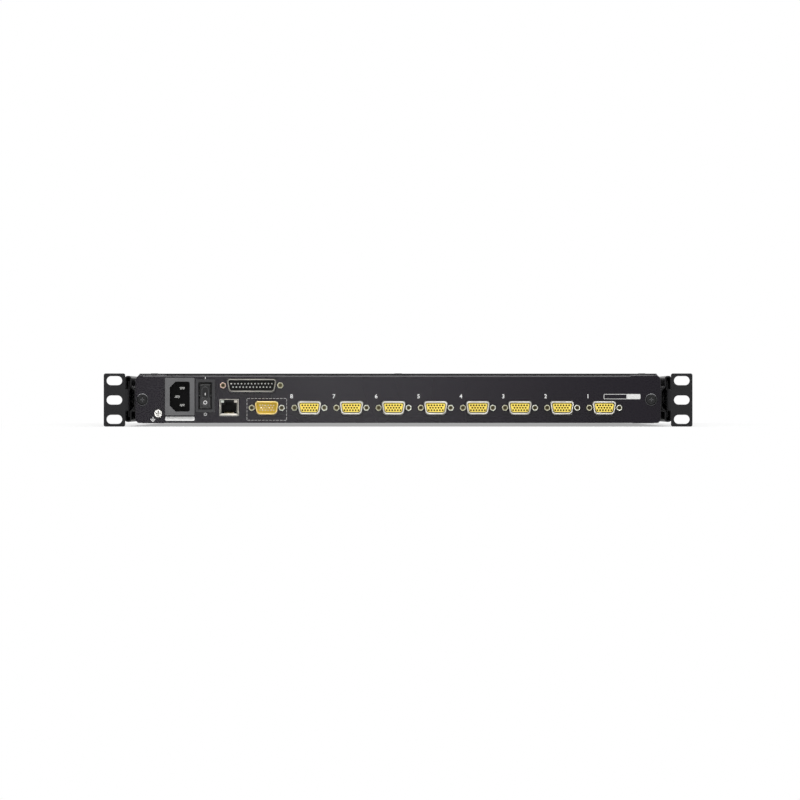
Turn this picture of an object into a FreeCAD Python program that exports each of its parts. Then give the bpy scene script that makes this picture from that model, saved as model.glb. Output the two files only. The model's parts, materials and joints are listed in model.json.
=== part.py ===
"""Rack-mounted LCD console drawer, one rack unit high, with an eight-port switch in its rear housing.

Units are millimetres. The origin is the centre of the front rack-mounting plane, where the back of the
front ears meets the rack posts. +X is the operator's right, +Y runs into the rack towards the rear panel,
and +Z is up. The drawer is shut and the screen is folded down. One STEP file is written for each piece.
"""
import FreeCAD, Part
import math
import os

V = FreeCAD.Vector

# Rack standard
RACK_HOLE_SPAN = 465.1
RACK_UNIT = 44.45
RACK_HOLE_GAP = 12.7
EAR_EDGE = 8.75
EAR_SHORT = 0.85
EAR_THICKNESS = 2.0
EAR_CORNER = 1.6
EAR_BEND = 0.8
SLOT_LENGTH = 12.8
SLOT_WIDTH = 7.4

# Case: a folded pan, a rear panel, a bulkhead and a cover over the rear housing
CASE_TO_HOLE = 16.65
CASE_SHORT = 4.85
CASE_BOTTOM = -18.9
CASE_FRONT = 2.0
SHEET = 1.2
BEND = 0.8
TOP_BEVEL = 3.0
BOTTOM_BEVEL = 2.2
RIM_WIDTH = 4.0
COVER_THICKNESS = 1.0
COVER_BEHIND_TRAY = 12.0
COVER_LIP = 6.0
COVER_SCREW_IN = 40.0
COVER_EDGE_CHAMFER = 0.7
PANEL_NOTCH_MARGIN = 25.9
PANEL_NOTCH_DEPTH = 0.7
LEAD_BAY_LENGTH = 86.0
HOUSING_LENGTH = 180.0
BULKHEAD_FLANGE = 9.0
BULKHEAD_CLEARANCE = 0.1
CABLE_SLOT_WIDTH = 46.0
CABLE_SLOT_HEIGHT = 13.0
CABLE_SLOT_X = 150.0
REAR_TAB_WIDTH = 16.0
REAR_TAB_HEIGHT = 26.0
VENT_LENGTH = 26.0
VENT_WIDTH = 2.4
VENT_PITCH = 7.0
VENTS_PER_BANK = 9
VENT_BANKS_X = (-150.0, -20.0)
VENT_FROM_BULKHEAD = 45.0

# Side mounting rails and the brackets that slide in them
RAIL_DEPTH = 9.0
RAIL_SHORT = 1.6
RAIL_STEP = 3.4
RAIL_RECESS = 14.0
RAIL_SLANT = 3.6
RAIL_LIP = 11.4
EAR_OVER_RAIL = 1.2
RAIL_SHEET = 1.2
RAIL_BEND = 1.2
RAIL_FRONT = 46.0
RAIL_SHORT_REAR = 5.0
BRACKET_THICKNESS = 1.8
BRACKET_PLAY = 0.3
BRACKET_NECK = 17.4
BRACKET_LEAF_SHORT = 8.0
BRACKET_LEAF_LENGTH = 200.0
BRACKET_STAND_OFF = 15.0
BRACKET_NECK_LENGTH = 22.0
BRACKET_SLOT_LENGTH = 40.0
BRACKET_SLOTS_AT = (28.0, 76.0)
BRACKET_SLOT_WIDTH = 6.0
BRACKET_SLOT_BEVEL = 1.8
BRACKET_BEND = 1.5
FRONT_FLANGE_LENGTH = 40.0
FRONT_FLANGE_SHORT = 5.0

# Telescopic slides: an outer, a middle and an inner member on each side
SLIDE_SHEET = 1.2
SLIDE_BEND = 0.5
SLIDE_HEIGHT = 26.0
SLIDE_CLEARANCE = 0.4
SLIDE_CENTRE_Z = -2.0
SLIDE_OUTER_DEPTH = 8.1
SLIDE_OUTER_LIP = 2.2
SLIDE_MIDDLE_GAP = 1.3
SLIDE_FRONT = 6.0
SLIDE_OUTER_SHORT = 10.0
SLIDE_MIDDLE_SHORT = 24.0

# Drawer tray, handle bar and catches
TRAY_SHEET = 1.0
TRAY_FLOOR_GAP = 0.9
TRAY_RIM_Z = 2.0
TRAY_BEHIND_HINGE = 20.0
TRAY_REAR_WALL_Z = 7.0
TRAY_NOTCH_WIDTH = 30.0
TRAY_NOTCH_DEPTH = 12.0
HANDLE_DEPTH = 23.0
HANDLE_SIDE_GAP = 2.5
HANDLE_BOTTOM = -18.2
HANDLE_NOSE = 5.0
GRIP_WIDTH = 130.0
GRIP_DEPTH = 12.0
GRIP_HEIGHT = 11.0
CATCH_FROM_END = 21.4
CATCH_WIDTH = 18.0
CATCH_HEIGHT = 8.0
CATCH_DEPTH = 6.0
CATCH_TRAVEL = 4.0
CATCH_CLEARANCE = 0.3
CATCH_PROUD = 1.2
CATCH_RIDGES = 4

# Keyboard module
DECK_TOP = -3.0
DECK_THICKNESS = 2.4
DECK_RIM_WIDTH = 6.0
DECK_WALL = 2.0
DECK_BEFORE_HINGE = 16.0
DECK_FIT = 0.2
KEY_PITCH = 18.3
KEY_GAP = 1.6
KEY_TAPER = 2.0
KEY_LEAN = 0.4
KEY_HEIGHT = 9.0
KEY_TOP = 1.0
KEY_TRAVEL = 3.0
KEY_WELL_MARGIN = 0.7
KEY_BLOCK_GAP = 5.5
KEYBOARD_FRONT = 142.0
GUIDE_RIB = 1.0
KEY_RUNNING_GAP = 0.4
KEYBASE_MARGIN = 3.0
PAD_CENTRE_X = 0.0
PAD_WIDTH = 76.0
PAD_LENGTH = 48.0
PAD_FRONT = 58.0
PAD_CLEARANCE = 0.3
PAD_SUNK = 0.5
PAD_BACKING = 2.0
PAD_BUTTON_LENGTH = 13.0
PAD_BUTTON_SPACE = 5.0
PAD_BUTTON_HEIGHT = 6.0

# Rows of keys from the rear to the front, in key pitches: the main block, then the number pad
KEY_ROWS = (
    ("keys_function_row", (1.0,) * 15, (1.0,) * 4),
    ("keys_number_row", (1.0,) * 13 + (2.0,), (1.0,) * 4),
    ("keys_upper_row", (1.5,) + (1.0,) * 12 + (1.5,), (1.0,) * 4),
    ("keys_home_row", (1.75,) + (1.0,) * 11 + (2.25,), (1.0,) * 4),
    ("keys_lower_row", (2.25,) + (1.0,) * 10 + (1.75, 1.0), (1.0,) * 4),
    ("keys_space_row", (1.25,) * 3 + (5.5,) + (1.25, 1.5) + (1.0,) * 3, (2.0, 1.0, 1.0)),
)

# Folding screen
LID_LIP_REACH = 8.4
LID_FRONT = -20.0
LID_CHIN = 62.6
LID_BOTTOM = 2.6
LID_ABOVE_CASE = 0.5
LID_WALL = 1.6
LID_CORNER = 6.0
LID_EDGE = 2.5
LID_LIP_BACK = -2.6
LID_PRESSING_DEPTH = 0.5
LID_POST_FLATS = 6.5
LID_PRESSING_MARGIN = 26.0
BEZEL_THICKNESS = 2.0
BEZEL_SLOPE = 1.4
SCREEN_WIDTH = 338.0
SCREEN_HEIGHT = 270.4
SCREEN_FRONT = 10.0
PANEL_BORDER = 10.25
PANEL_END = 13.05
PANEL_THICKNESS = 9.5
BUTTON_ROW_MARGIN = 26.0
BUTTON_WIDTH = 12.0
BUTTON_LENGTH = 5.0
BUTTON_FIT = 0.25
BUTTON_PROUD = 0.6
BUTTON_TRAVEL = 0.8
BUTTON_HEAD = 1.6
BUTTON_PITCH = 20.0
BUTTON_TO_POWER = 40.0
BUTTON_NAMES = ("menu_button", "select_button", "minus_button", "plus_button")
POWER_BUTTON_FROM_EDGE = 45.0
BUTTON_BOARD_WIDTH = 136.0
BUTTON_BOARD_LENGTH = 22.0
BUTTON_BOARD_THICKNESS = 1.6
BUTTON_BOARD_CLEARANCE = 0.6

# Screen hinges
HINGE_BEHIND_LID = 9.0
HINGE_Z = 6.0
HINGE_BARREL_RADIUS = 5.0
HINGE_PIN_RADIUS = 2.55
HINGE_PIN_CLEARANCE = 0.05
HINGE_FROM_EDGE = 55.0
HINGE_KNUCKLE = 18.0
HINGE_SIDE_GAP = 0.5
HINGE_ARM_WIDTH = 16.0
HINGE_LEAF_THICKNESS = 3.0
HINGE_LEAF_LENGTH = 44.0
HINGE_BASE_LENGTH = 24.0
HINGE_BASE_THICKNESS = 2.0
HINGE_WEB = 5.0

# Connectors on the rear panel: "in" is from the case's right-hand edge, "up" from its mid height
INLET_IN = 36.6
INLET_UP = 1.9
INLET_BEZEL = (24.2, 30.9)
INLET_BODY = (19.8, 27.6)
INLET_MOUTH = (16.4, 24.6)
INLET_MOUTH_CHAMFER = 4.8
INLET_MOUTH_CORNER = 1.6
INLET_PROUD = 3.0
INLET_DEPTH = 17.0
INLET_FLOOR = 1.8
BLADE_WIDTH = 4.0
BLADE_THICKNESS = 2.0
BLADE_SPACING = 14.0
BLADE_OFFSET = 2.0
BLADE_SUNK = 3.0
SWITCH_IN = 57.5
SWITCH_UP = 2.5
SWITCH_BEZEL = (15.7, 26.8)
SWITCH_BODY = (12.9, 24.6)
SWITCH_WINDOW = (11.3, 22.6)
SWITCH_PROUD = 2.4
SWITCH_DEPTH = 14.0
ROCKER_WIDTH = 8.6
ROCKER_HALF_LENGTH = 10.2
ROCKER_SWING = 16.0
ROCKER_PIVOT_DEPTH = 2.0
ROCKER_PIN_RADIUS = 1.2
ROCKER_PIN_CLEARANCE = 0.08
JACK_IN = 77.0
JACK_SIZE = (15.8, 13.8)
JACK_SHELL = 0.5
JACK_PROUD = 0.7
JACK_DEPTH = 15.0
JACK_MOUTH = (11.9, 6.9)
JACK_NOTCH = (6.4, 2.2)
JACK_CONTACTS = 8
JACK_CONTACT_PITCH = 1.02
JACK_CONTACT_WIDTH = 0.5
CHAIN_IN = 95.6
CHAIN_BELOW_TOP = 8.7
CHAIN_SCREW_SPAN = 47.04
CHAIN_SHELL = (40.6, 10.4)
CHAIN_PIN_COUNTS = (13, 12)
CHAIN_PIN_PITCH = 2.77
CHAIN_ROW_PITCH = 2.84
CONSOLE_IN = 108.0
PORT_FIRST_IN = 143.0
PORT_LAST_MARGIN = 46.6
PORT_ABOVE_BOARD = 6.7
PORT_COUNT = 8
PORT_SCREW_SPAN = 24.6
PORT_SHELL = (19.6, 10.6)
PORT_SHELL_WALL = 1.1
PORT_GROOVE = 0.7
PORT_PIN_COUNTS = (6, 5, 6)
PORT_PIN_PITCH = 2.29
PORT_ROW_PITCH = 1.98
SHELL_PROUD = 5.6
SHELL_SLANT = 10.0
SHELL_CORNER = 1.7
SHELL_CORNER_FLAT = 0.7
SHELL_INSIDE_BEVEL = 1.1
SHELL_WALL = 0.8
SHELL_CLEARANCE = 0.25
CUT_OUT_BEVEL = 1.5
FLANGE_THICKNESS = 0.9
FLANGE_MARGIN = 3.2
INSERT_SUNK = 0.5
INSERT_CLEARANCE = 0.1
INSERT_BEVEL = 0.9
HOUSING_DEPTH = 13.0
PIN_RADIUS = 0.5
PIN_SUNK = 1.2
PIN_FLOOR = 1.2
JACKSCREW_FLATS = 4.8
JACKSCREW_LENGTH = 5.0
GROUND_SCREW_IN = 18.8
GROUND_SCREW_Z = -11.1
GROUND_SCREW_RADIUS = 3.95
GROUND_SCREW_HEIGHT = 2.6
PANEL_SCREWS_IN = (7.9, 5.7)
PANEL_SCREW_Z = 0.3
PANEL_SCREW_RADIUS = 4.6
PANEL_SCREW_HEIGHT = 2.2
SMALL_SCREW_RADIUS = 2.8
SMALL_SCREW_HEIGHT = 1.5
COVER_SCREW_HEIGHT = 0.4
HEAD_CROWN = 0.8
RECESS_REACH = 0.55
RECESS_WIDTH = 0.13
RECESS_DEPTH = 0.6

# Boards in the rear housing
BOARD_STANDOFF = 3.0
BOARD_THICKNESS = 1.6
BOARD_REAR_GAP = 4.0
BOARD_FROM_BULKHEAD = 30.0
BOARD_WALL_GAP = 9.7
BOARD_SUPPLY_GAP = 6.0
BOARD_SWITCH_GAP = 2.0
BOARD_TONGUE_LENGTH = 30.0
STANDOFF_FLATS = 5.5
SUPPLY_WALL_GAP = 10.7
SUPPLY_WIDTH = 86.0
SUPPLY_FROM_BULKHEAD = 16.0
SUPPLY_LENGTH = 120.0
SINK_FROM_LEFT = 175.0
CHIPS = ((55.0, 22.0), (110.0, 16.0), (245.0, 20.0))
CHIP_HEIGHT = 1.8
SINK_SIZE = 30.0
SINK_BASE = 4.0
SINK_HEIGHT = 12.0
SINK_FIN = 1.2
SINK_FINS = 6

# Worked-out widths
RACK_PANEL_WIDTH = RACK_HOLE_SPAN + 2 * EAR_EDGE
CASE_WIDTH = RACK_HOLE_SPAN - 2 * CASE_TO_HOLE
CASE_HALF = CASE_WIDTH / 2
WALL_INSIDE = CASE_HALF - SHEET
EAR_OUTER = RACK_PANEL_WIDTH / 2
RAIL_OUTER = CASE_HALF + RAIL_DEPTH
LEAF_INSIDE = CASE_HALF + RAIL_STEP + RAIL_SHEET + BRACKET_PLAY
REAR_EAR_INNER = RAIL_OUTER - EAR_OVER_RAIL
MIDDLE_WEB_X = WALL_INSIDE - SLIDE_SHEET - SLIDE_MIDDLE_GAP
TRAY_HALF = WALL_INSIDE - SLIDE_OUTER_DEPTH
DECK_HALF = TRAY_HALF - TRAY_SHEET - DECK_FIT
HANDLE_HALF_WIDTH = CASE_HALF - HANDLE_SIDE_GAP
CATCH_X = HANDLE_HALF_WIDTH - CATCH_FROM_END
LID_HALF_WIDTH = HANDLE_HALF_WIDTH - LID_LIP_REACH
HINGE_X = LID_HALF_WIDTH - HINGE_FROM_EDGE
POWER_BUTTON_X = LID_HALF_WIDTH - POWER_BUTTON_FROM_EDGE
PANEL_WIDTH = SCREEN_WIDTH + 2 * PANEL_BORDER
MAIN_BLOCK_UNITS = sum(KEY_ROWS[0][1])
PAD_BLOCK_UNITS = sum(KEY_ROWS[0][2])
KEY_BLOCK_LEFT = -((MAIN_BLOCK_UNITS + PAD_BLOCK_UNITS) * KEY_PITCH + KEY_BLOCK_GAP) / 2
NUMBER_BLOCK_LEFT = KEY_BLOCK_LEFT + MAIN_BLOCK_UNITS * KEY_PITCH + KEY_BLOCK_GAP
PORT_PITCH = (CASE_WIDTH - PORT_FIRST_IN - PORT_LAST_MARGIN) / (PORT_COUNT - 1)
BOARD_LEFT = -(WALL_INSIDE - BOARD_WALL_GAP)
SUPPLY_RIGHT = WALL_INSIDE - SUPPLY_WALL_GAP
SUPPLY_LEFT = SUPPLY_RIGHT - SUPPLY_WIDTH
BOARD_RIGHT = SUPPLY_LEFT - BOARD_SUPPLY_GAP

# Worked-out heights
RACK_HOLE_PITCH = (RACK_UNIT - RACK_HOLE_GAP) / 2
EAR_HEIGHT = RACK_UNIT - EAR_SHORT
CASE_HEIGHT = RACK_UNIT - CASE_SHORT
CASE_TOP = CASE_BOTTOM + CASE_HEIGHT
CASE_MIDDLE = CASE_BOTTOM + CASE_HEIGHT / 2
FLOOR_TOP = CASE_BOTTOM + SHEET
COVER_TOP = CASE_TOP + COVER_THICKNESS
RAIL_HEIGHT = CASE_HEIGHT - RAIL_SHORT
BRACKET_LEAF_HEIGHT = RAIL_HEIGHT - BRACKET_LEAF_SHORT
FRONT_FLANGE_HEIGHT = RAIL_HEIGHT - FRONT_FLANGE_SHORT
MIDDLE_HALF_HEIGHT = SLIDE_HEIGHT / 2 - SLIDE_SHEET - SLIDE_CLEARANCE
INNER_HALF_HEIGHT = MIDDLE_HALF_HEIGHT - SLIDE_SHEET - SLIDE_CLEARANCE
TRAY_BOTTOM = FLOOR_TOP + TRAY_FLOOR_GAP
TRAY_FLOOR = TRAY_BOTTOM + TRAY_SHEET
HANDLE_TOP = TRAY_RIM_Z - 0.2
CATCH_Z = (HANDLE_BOTTOM + HANDLE_TOP) / 2
DECK_UNDER = DECK_TOP - DECK_THICKNESS
KEY_BOTTOM = KEY_TOP - KEY_HEIGHT
KEYBASE_TOP = KEY_BOTTOM - KEY_TRAVEL - KEY_RUNNING_GAP
LID_TOP = CASE_TOP + LID_ABOVE_CASE
BEZEL_TOP = LID_BOTTOM + BEZEL_THICKNESS
BUTTON_BACK = BEZEL_TOP + BUTTON_HEAD
BUTTON_BOARD_Z = BUTTON_BACK + BUTTON_TRAVEL + BUTTON_BOARD_CLEARANCE
BOARD_BOTTOM = FLOOR_TOP + BOARD_STANDOFF
BOARD_TOP = BOARD_BOTTOM + BOARD_THICKNESS
PORT_Z = BOARD_TOP + PORT_ABOVE_BOARD

# Worked-out depths, from the screen back to the rear ears
LID_REAR = SCREEN_FRONT + SCREEN_HEIGHT + LID_CHIN
SCREEN_MIDDLE = SCREEN_FRONT + SCREEN_HEIGHT / 2
PANEL_LENGTH = SCREEN_HEIGHT + 2 * PANEL_END
BUTTON_ROW_Y = LID_REAR - BUTTON_ROW_MARGIN
HINGE_Y = LID_REAR + HINGE_BEHIND_LID
DECK_REAR = HINGE_Y - DECK_BEFORE_HINGE
TRAY_REAR = HINGE_Y + TRAY_BEHIND_HINGE
COVER_FRONT = TRAY_REAR + COVER_BEHIND_TRAY
BULKHEAD_Y = COVER_FRONT + LEAD_BAY_LENGTH
CASE_REAR = BULKHEAD_Y + HOUSING_LENGTH
PANEL_INSIDE = CASE_REAR - SHEET
RAIL_REAR = CASE_REAR - RAIL_SHORT_REAR
REAR_EAR_Y = RAIL_REAR + BRACKET_STAND_OFF
SLIDE_OUTER_LENGTH = BULKHEAD_Y - SLIDE_OUTER_SHORT - SLIDE_FRONT
SLIDE_MIDDLE_LENGTH = BULKHEAD_Y - SLIDE_MIDDLE_SHORT - SLIDE_FRONT
SLIDE_INNER_LENGTH = TRAY_REAR - SLIDE_FRONT
KEYBOARD_DEPTH = len(KEY_ROWS) * KEY_PITCH
KEYBOARD_REAR = KEYBOARD_FRONT + KEYBOARD_DEPTH
VENT_BANK_Y = BULKHEAD_Y + VENT_FROM_BULKHEAD
BOARD_FRONT = BULKHEAD_Y + BOARD_FROM_BULKHEAD
BOARD_REAR = PANEL_INSIDE - BOARD_REAR_GAP
SUPPLY_FRONT = BULKHEAD_Y + SUPPLY_FROM_BULKHEAD
SUPPLY_REAR = SUPPLY_FRONT + SUPPLY_LENGTH
ROCKER_PIVOT_Y = CASE_REAR - ROCKER_PIVOT_DEPTH

# Worked-out connector centres on the rear panel, as (X, Z)
INLET_AT = (CASE_HALF - INLET_IN, CASE_MIDDLE + INLET_UP)
SWITCH_AT = (CASE_HALF - SWITCH_IN, CASE_MIDDLE + SWITCH_UP)
JACK_AT = (CASE_HALF - JACK_IN, BOARD_TOP + JACK_SIZE[1] / 2)
CHAIN_AT = (CASE_HALF - CHAIN_IN, CASE_TOP - CHAIN_BELOW_TOP)
CONSOLE_AT = (CASE_HALF - CONSOLE_IN, PORT_Z)
PORT_FIRST_AT = (CASE_HALF - PORT_FIRST_IN, PORT_Z)
GROUND_SCREW_AT = (CASE_HALF - GROUND_SCREW_IN, GROUND_SCREW_Z)
BOARD_TONGUE_RIGHT = SWITCH_AT[0] - SWITCH_BODY[0] / 2 - BOARD_SWITCH_GAP


def block(x0, x1, y0, y1, z0, z1):
    """A box between two corners."""
    return Part.makeBox(x1 - x0, y1 - y0, z1 - z0, V(x0, y0, z0))


def in_xz(y):
    """Places a flat outline upright across the object, at depth y."""
    return lambda u, v: V(u, y, v)


def in_yz(x):
    """Places a flat outline upright along the object, at x."""
    return lambda u, v: V(x, u, v)


def in_xy(z):
    """Places a flat outline level, at height z."""
    return lambda u, v: V(u, v, z)


def closed_wire(corners, place):
    """A closed wire through (u, v, radius) corners, each rounded by its radius."""
    count = len(corners)
    starts, ends, mids = [], [], []
    for i, (u, v, radius) in enumerate(corners):
        before = corners[i - 1]
        after = corners[(i + 1) % count]
        a = V(before[0] - u, before[1] - v, 0).normalize()
        b = V(after[0] - u, after[1] - v, 0).normalize()
        here = V(u, v, 0)
        if radius <= 0:
            starts.append(here)
            ends.append(here)
            mids.append(None)
            continue
        half = math.acos(max(-1.0, min(1.0, a.dot(b)))) / 2
        along = radius / math.tan(half)
        bisector = (a + b).normalize()
        starts.append(here + a * along)
        ends.append(here + b * along)
        mids.append(here + bisector * (radius / math.sin(half) - radius))
    edges = []
    for i in range(count):
        if mids[i] is not None:
            three = [place(p.x, p.y) for p in (starts[i], mids[i], ends[i])]
            edges.append(Part.Arc(*three).toShape())
        p, q = ends[i], starts[(i + 1) % count]
        if (q - p).Length > 1e-6:
            edges.append(Part.LineSegment(place(p.x, p.y), place(q.x, q.y)).toShape())
    return Part.Wire(Part.__sortEdges__(edges))


def slab(corners, place, along, holes=()):
    """A flat face with holes, pushed along a vector."""
    wires = [closed_wire(corners, place)] + [closed_wire(hole, place) for hole in holes]
    face = Part.Face(wires[0])
    for wire in wires[1:]:
        face = face.cut(Part.Face(wire))
    return face.extrude(along)


def rectangle(u, v, width, height, radius=0.0):
    """The corners of a rectangle about a centre."""
    w, h = width / 2, height / 2
    return [(u - w, v - h, radius), (u + w, v - h, radius), (u + w, v + h, radius), (u - w, v + h, radius)]


def strip(path, thickness, bend):
    """The corners of a folded sheet whose first face follows path and whose thickness lies to its left."""
    count = len(path)
    directions = []
    for p, q in zip(path[:-1], path[1:]):
        directions.append(V(q[0] - p[0], q[1] - p[1], 0).normalize())
    first, second = [], []
    for i, (u, v) in enumerate(path):
        if i in (0, count - 1):
            d = directions[0] if i == 0 else directions[-1]
            first.append((u, v, 0.0))
            second.append((u - d.y * thickness, v + d.x * thickness, 0.0))
            continue
        d, e = directions[i - 1], directions[i]
        turn = d.x * e.y - d.y * e.x
        normal = V(-d.y - e.y, d.x + e.x, 0).normalize()
        reach = thickness / normal.dot(V(-d.y, d.x, 0))
        outer, inner = (bend + thickness, bend) if turn > 0 else (bend, bend + thickness)
        first.append((u, v, outer))
        second.append((u + normal.x * reach, v + normal.y * reach, inner))
    return first + second[::-1]


def fused(shapes):
    """One solid from touching or overlapping ones."""
    whole = shapes[0].fuse(list(shapes[1:])) if len(shapes) > 1 else shapes[0]
    return whole.removeSplitter()


def mirrored(shape):
    """The same piece for the other side of the object."""
    return shape.mirror(V(0, 0, 0), V(1, 0, 0))


def polygon(u, v, flats, sides):
    """The corners of a regular polygon by its width over flats, with a corner straight up."""
    radius = flats / 2 / math.cos(math.pi / sides)
    turns = [2 * math.pi * i / sides for i in range(sides)]
    return [(u + radius * math.sin(turn), v + radius * math.cos(turn), 0.0) for turn in turns]


def frustum(low, low_z, high, high_z):
    """A flat-sided solid between two level rectangles, each (u centre, v centre, width, height)."""
    rings = []
    for outline, z in ((low, low_z), (high, high_z)):
        rings.append([V(u, v, z) for u, v, _ in rectangle(*outline)])
    faces = [Part.Face(Part.makePolygon(ring + ring[:1])) for ring in rings]
    for i in range(4):
        j = (i + 1) % 4
        side = [rings[0][i], rings[0][j], rings[1][j], rings[1][i], rings[0][i]]
        faces.append(Part.Face(Part.makePolygon(side)))
    return Part.makeSolid(Part.makeShell(faces))


def d_outline(u, v, width, height, corner):
    """The corners of a D-shaped connector outline, wide side up."""
    slant = height * math.tan(math.radians(SHELL_SLANT))
    w, h = width / 2, height / 2
    return [
        (u - w + slant, v - h, corner),
        (u + w - slant, v - h, corner),
        (u + w, v + h, corner),
        (u - w, v + h, corner),
    ]


def bevelled(corners, cut):
    """The same outline with every corner cut off straight, a distance along both its sides."""
    result = []
    for i, (u, v, _) in enumerate(corners):
        before, after = corners[i - 1], corners[(i + 1) % len(corners)]
        for other in (before, after):
            step = V(other[0] - u, other[1] - v, 0).normalize() * cut
            result.append((u + step.x, v + step.y, 0.0))
    return result


def slot_corners(u, v, length, width):
    """The corners of a slot with round ends, long in u."""
    return rectangle(u, v, length, width, width / 2)


def screw_head(at, direction, radius, height):
    """A cross-recessed screw head that stands on a face, with a sloped edge."""
    head = Part.makeCone(radius, radius * HEAD_CROWN, height, at, direction)
    out = V(direction).normalize()
    across = V(0, 0, 1) if abs(out.z) < 0.5 else V(1, 0, 0)
    top = at + out * height
    cross = []
    for one in (across, out.cross(across)):
        other = out.cross(one)
        arm = Part.makePolygon(
            [
                top + one * (radius * p * RECESS_REACH) + other * (radius * q * RECESS_WIDTH)
                for p, q in ((-1, -1), (1, -1), (1, 1), (-1, 1), (-1, -1))
            ]
        )
        cross.append(Part.Face(arm).extrude(out * (-height * RECESS_DEPTH)))
    return head.cut(cross[0].fuse(cross[1]))


def small_head(at, direction):
    """A small black screw head, as a low eight-sided stud."""
    out = V(direction).normalize()
    if abs(out.x) > 0.5:
        return slab(polygon(at.y, at.z, 2 * SMALL_SCREW_RADIUS, 8), in_yz(at.x), out * SMALL_SCREW_HEIGHT)
    return slab(polygon(at.x, at.y, 2 * SMALL_SCREW_RADIUS, 8), in_xy(at.z), out * COVER_SCREW_HEIGHT)


def case_outline(inset, top_inset):
    """The case's section as a closed outline, moved inwards."""
    half, low, high = CASE_HALF - inset, CASE_BOTTOM + inset, CASE_TOP - top_inset
    low_bevel = BOTTOM_BEVEL - inset * (2 - math.sqrt(2))
    high_bevel = TOP_BEVEL - inset * (2 - math.sqrt(2))
    return [
        (-half + low_bevel, low, 0.0),
        (half - low_bevel, low, 0.0),
        (half, low + low_bevel, 0.0),
        (half, CASE_TOP - inset - high_bevel, 0.0),
        (half - high_bevel - top_inset + inset, high, 0.0),
        (-half + high_bevel + top_inset - inset, high, 0.0),
        (-half, CASE_TOP - inset - high_bevel, 0.0),
        (-half, low + low_bevel, 0.0),
    ]


def port_centres():
    """The eight computer ports, from the right-hand side of the object to the left."""
    return [(PORT_FIRST_AT[0] - i * PORT_PITCH, PORT_FIRST_AT[1]) for i in range(PORT_COUNT)]


def small_port_centres():
    """Every port that has the small shell: the second console's and the computers'."""
    return [CONSOLE_AT] + port_centres()


def jackscrew_places():
    """The centres of the hexagonal posts beside each D-shaped port."""
    places = [(u + side * PORT_SCREW_SPAN / 2, v) for u, v in small_port_centres() for side in (-1, 1)]
    u, v = CHAIN_AT
    return places + [(u + side * CHAIN_SCREW_SPAN / 2, v) for side in (-1, 1)]


def standoff_places():
    """The pressed standoffs that carry the two boards."""
    board = [
        (x, y)
        for x in (BOARD_LEFT + 8, (BOARD_LEFT + BOARD_RIGHT) / 2, BOARD_RIGHT - 8)
        for y in (BOARD_FRONT + 8, BOARD_REAR - 24)
    ]
    supply = [
        (x, y) for x in (SUPPLY_LEFT + 5, SUPPLY_RIGHT - 5) for y in (SUPPLY_FRONT + 5, SUPPLY_REAR - 5)
    ]
    return board + supply


def base_pan():
    """The folded pan: a floor, two walls with bevelled edges and narrow rims along the top."""
    left = [
        (-(CASE_HALF - TOP_BEVEL - RIM_WIDTH), CASE_TOP),
        (-(CASE_HALF - TOP_BEVEL), CASE_TOP),
        (-CASE_HALF, CASE_TOP - TOP_BEVEL),
        (-CASE_HALF, CASE_BOTTOM + BOTTOM_BEVEL),
        (-(CASE_HALF - BOTTOM_BEVEL), CASE_BOTTOM),
    ]
    path = left + [(-u, v) for u, v in reversed(left)]
    place = in_xz(CASE_FRONT)
    pan = slab(strip(path, SHEET, BEND), place, V(0, PANEL_INSIDE - CASE_FRONT, 0))
    tabs = []
    for side in (-1, 1):
        inner, outer = sorted((side * (WALL_INSIDE - REAR_TAB_WIDTH), side * WALL_INSIDE))
        tabs.append(
            block(
                inner,
                outer,
                PANEL_INSIDE - SHEET,
                PANEL_INSIDE,
                PANEL_SCREW_Z - REAR_TAB_HEIGHT / 2,
                PANEL_SCREW_Z + REAR_TAB_HEIGHT / 2,
            )
        )
    posts = [
        slab(polygon(x, y, STANDOFF_FLATS, 6), in_xy(FLOOR_TOP), V(0, 0, BOARD_STANDOFF))
        for x, y in standoff_places()
    ]
    pan = fused([pan] + tabs + posts)
    vents = []
    for bank in VENT_BANKS_X:
        for i in range(VENTS_PER_BANK):
            x = bank + (i - (VENTS_PER_BANK - 1) / 2) * VENT_PITCH
            vents.append(
                block(
                    x - VENT_WIDTH / 2,
                    x + VENT_WIDTH / 2,
                    VENT_BANK_Y,
                    VENT_BANK_Y + VENT_LENGTH,
                    CASE_BOTTOM - 1,
                    FLOOR_TOP + 1,
                )
            )
    return pan.cut(Part.makeCompound(vents))


def rear_panel():
    """The flat rear plate with a cut-out for every connector and a shallow step for the cover's lip."""
    half = CASE_HALF - PANEL_NOTCH_MARGIN
    outline = case_outline(0.0, 0.0)
    step = [
        (half + PANEL_NOTCH_DEPTH, CASE_TOP, 0.0),
        (half, CASE_TOP - PANEL_NOTCH_DEPTH, 0.0),
        (-half, CASE_TOP - PANEL_NOTCH_DEPTH, 0.0),
        (-half - PANEL_NOTCH_DEPTH, CASE_TOP, 0.0),
    ]
    outline = outline[:5] + step + outline[5:]
    holes = [
        rectangle(*INLET_AT, *INLET_BODY),
        rectangle(*SWITCH_AT, *SWITCH_BODY),
        rectangle(*JACK_AT, *JACK_SIZE),
    ]
    ports = [(CHAIN_AT, CHAIN_SHELL)] + [(centre, PORT_SHELL) for centre in small_port_centres()]
    for centre, shell in ports:
        size = (side + 2 * SHELL_CLEARANCE for side in shell)
        holes.append(bevelled(d_outline(*centre, *size, 0), CUT_OUT_BEVEL))
    return slab(outline, in_xz(PANEL_INSIDE), V(0, SHEET, 0), holes)


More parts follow.
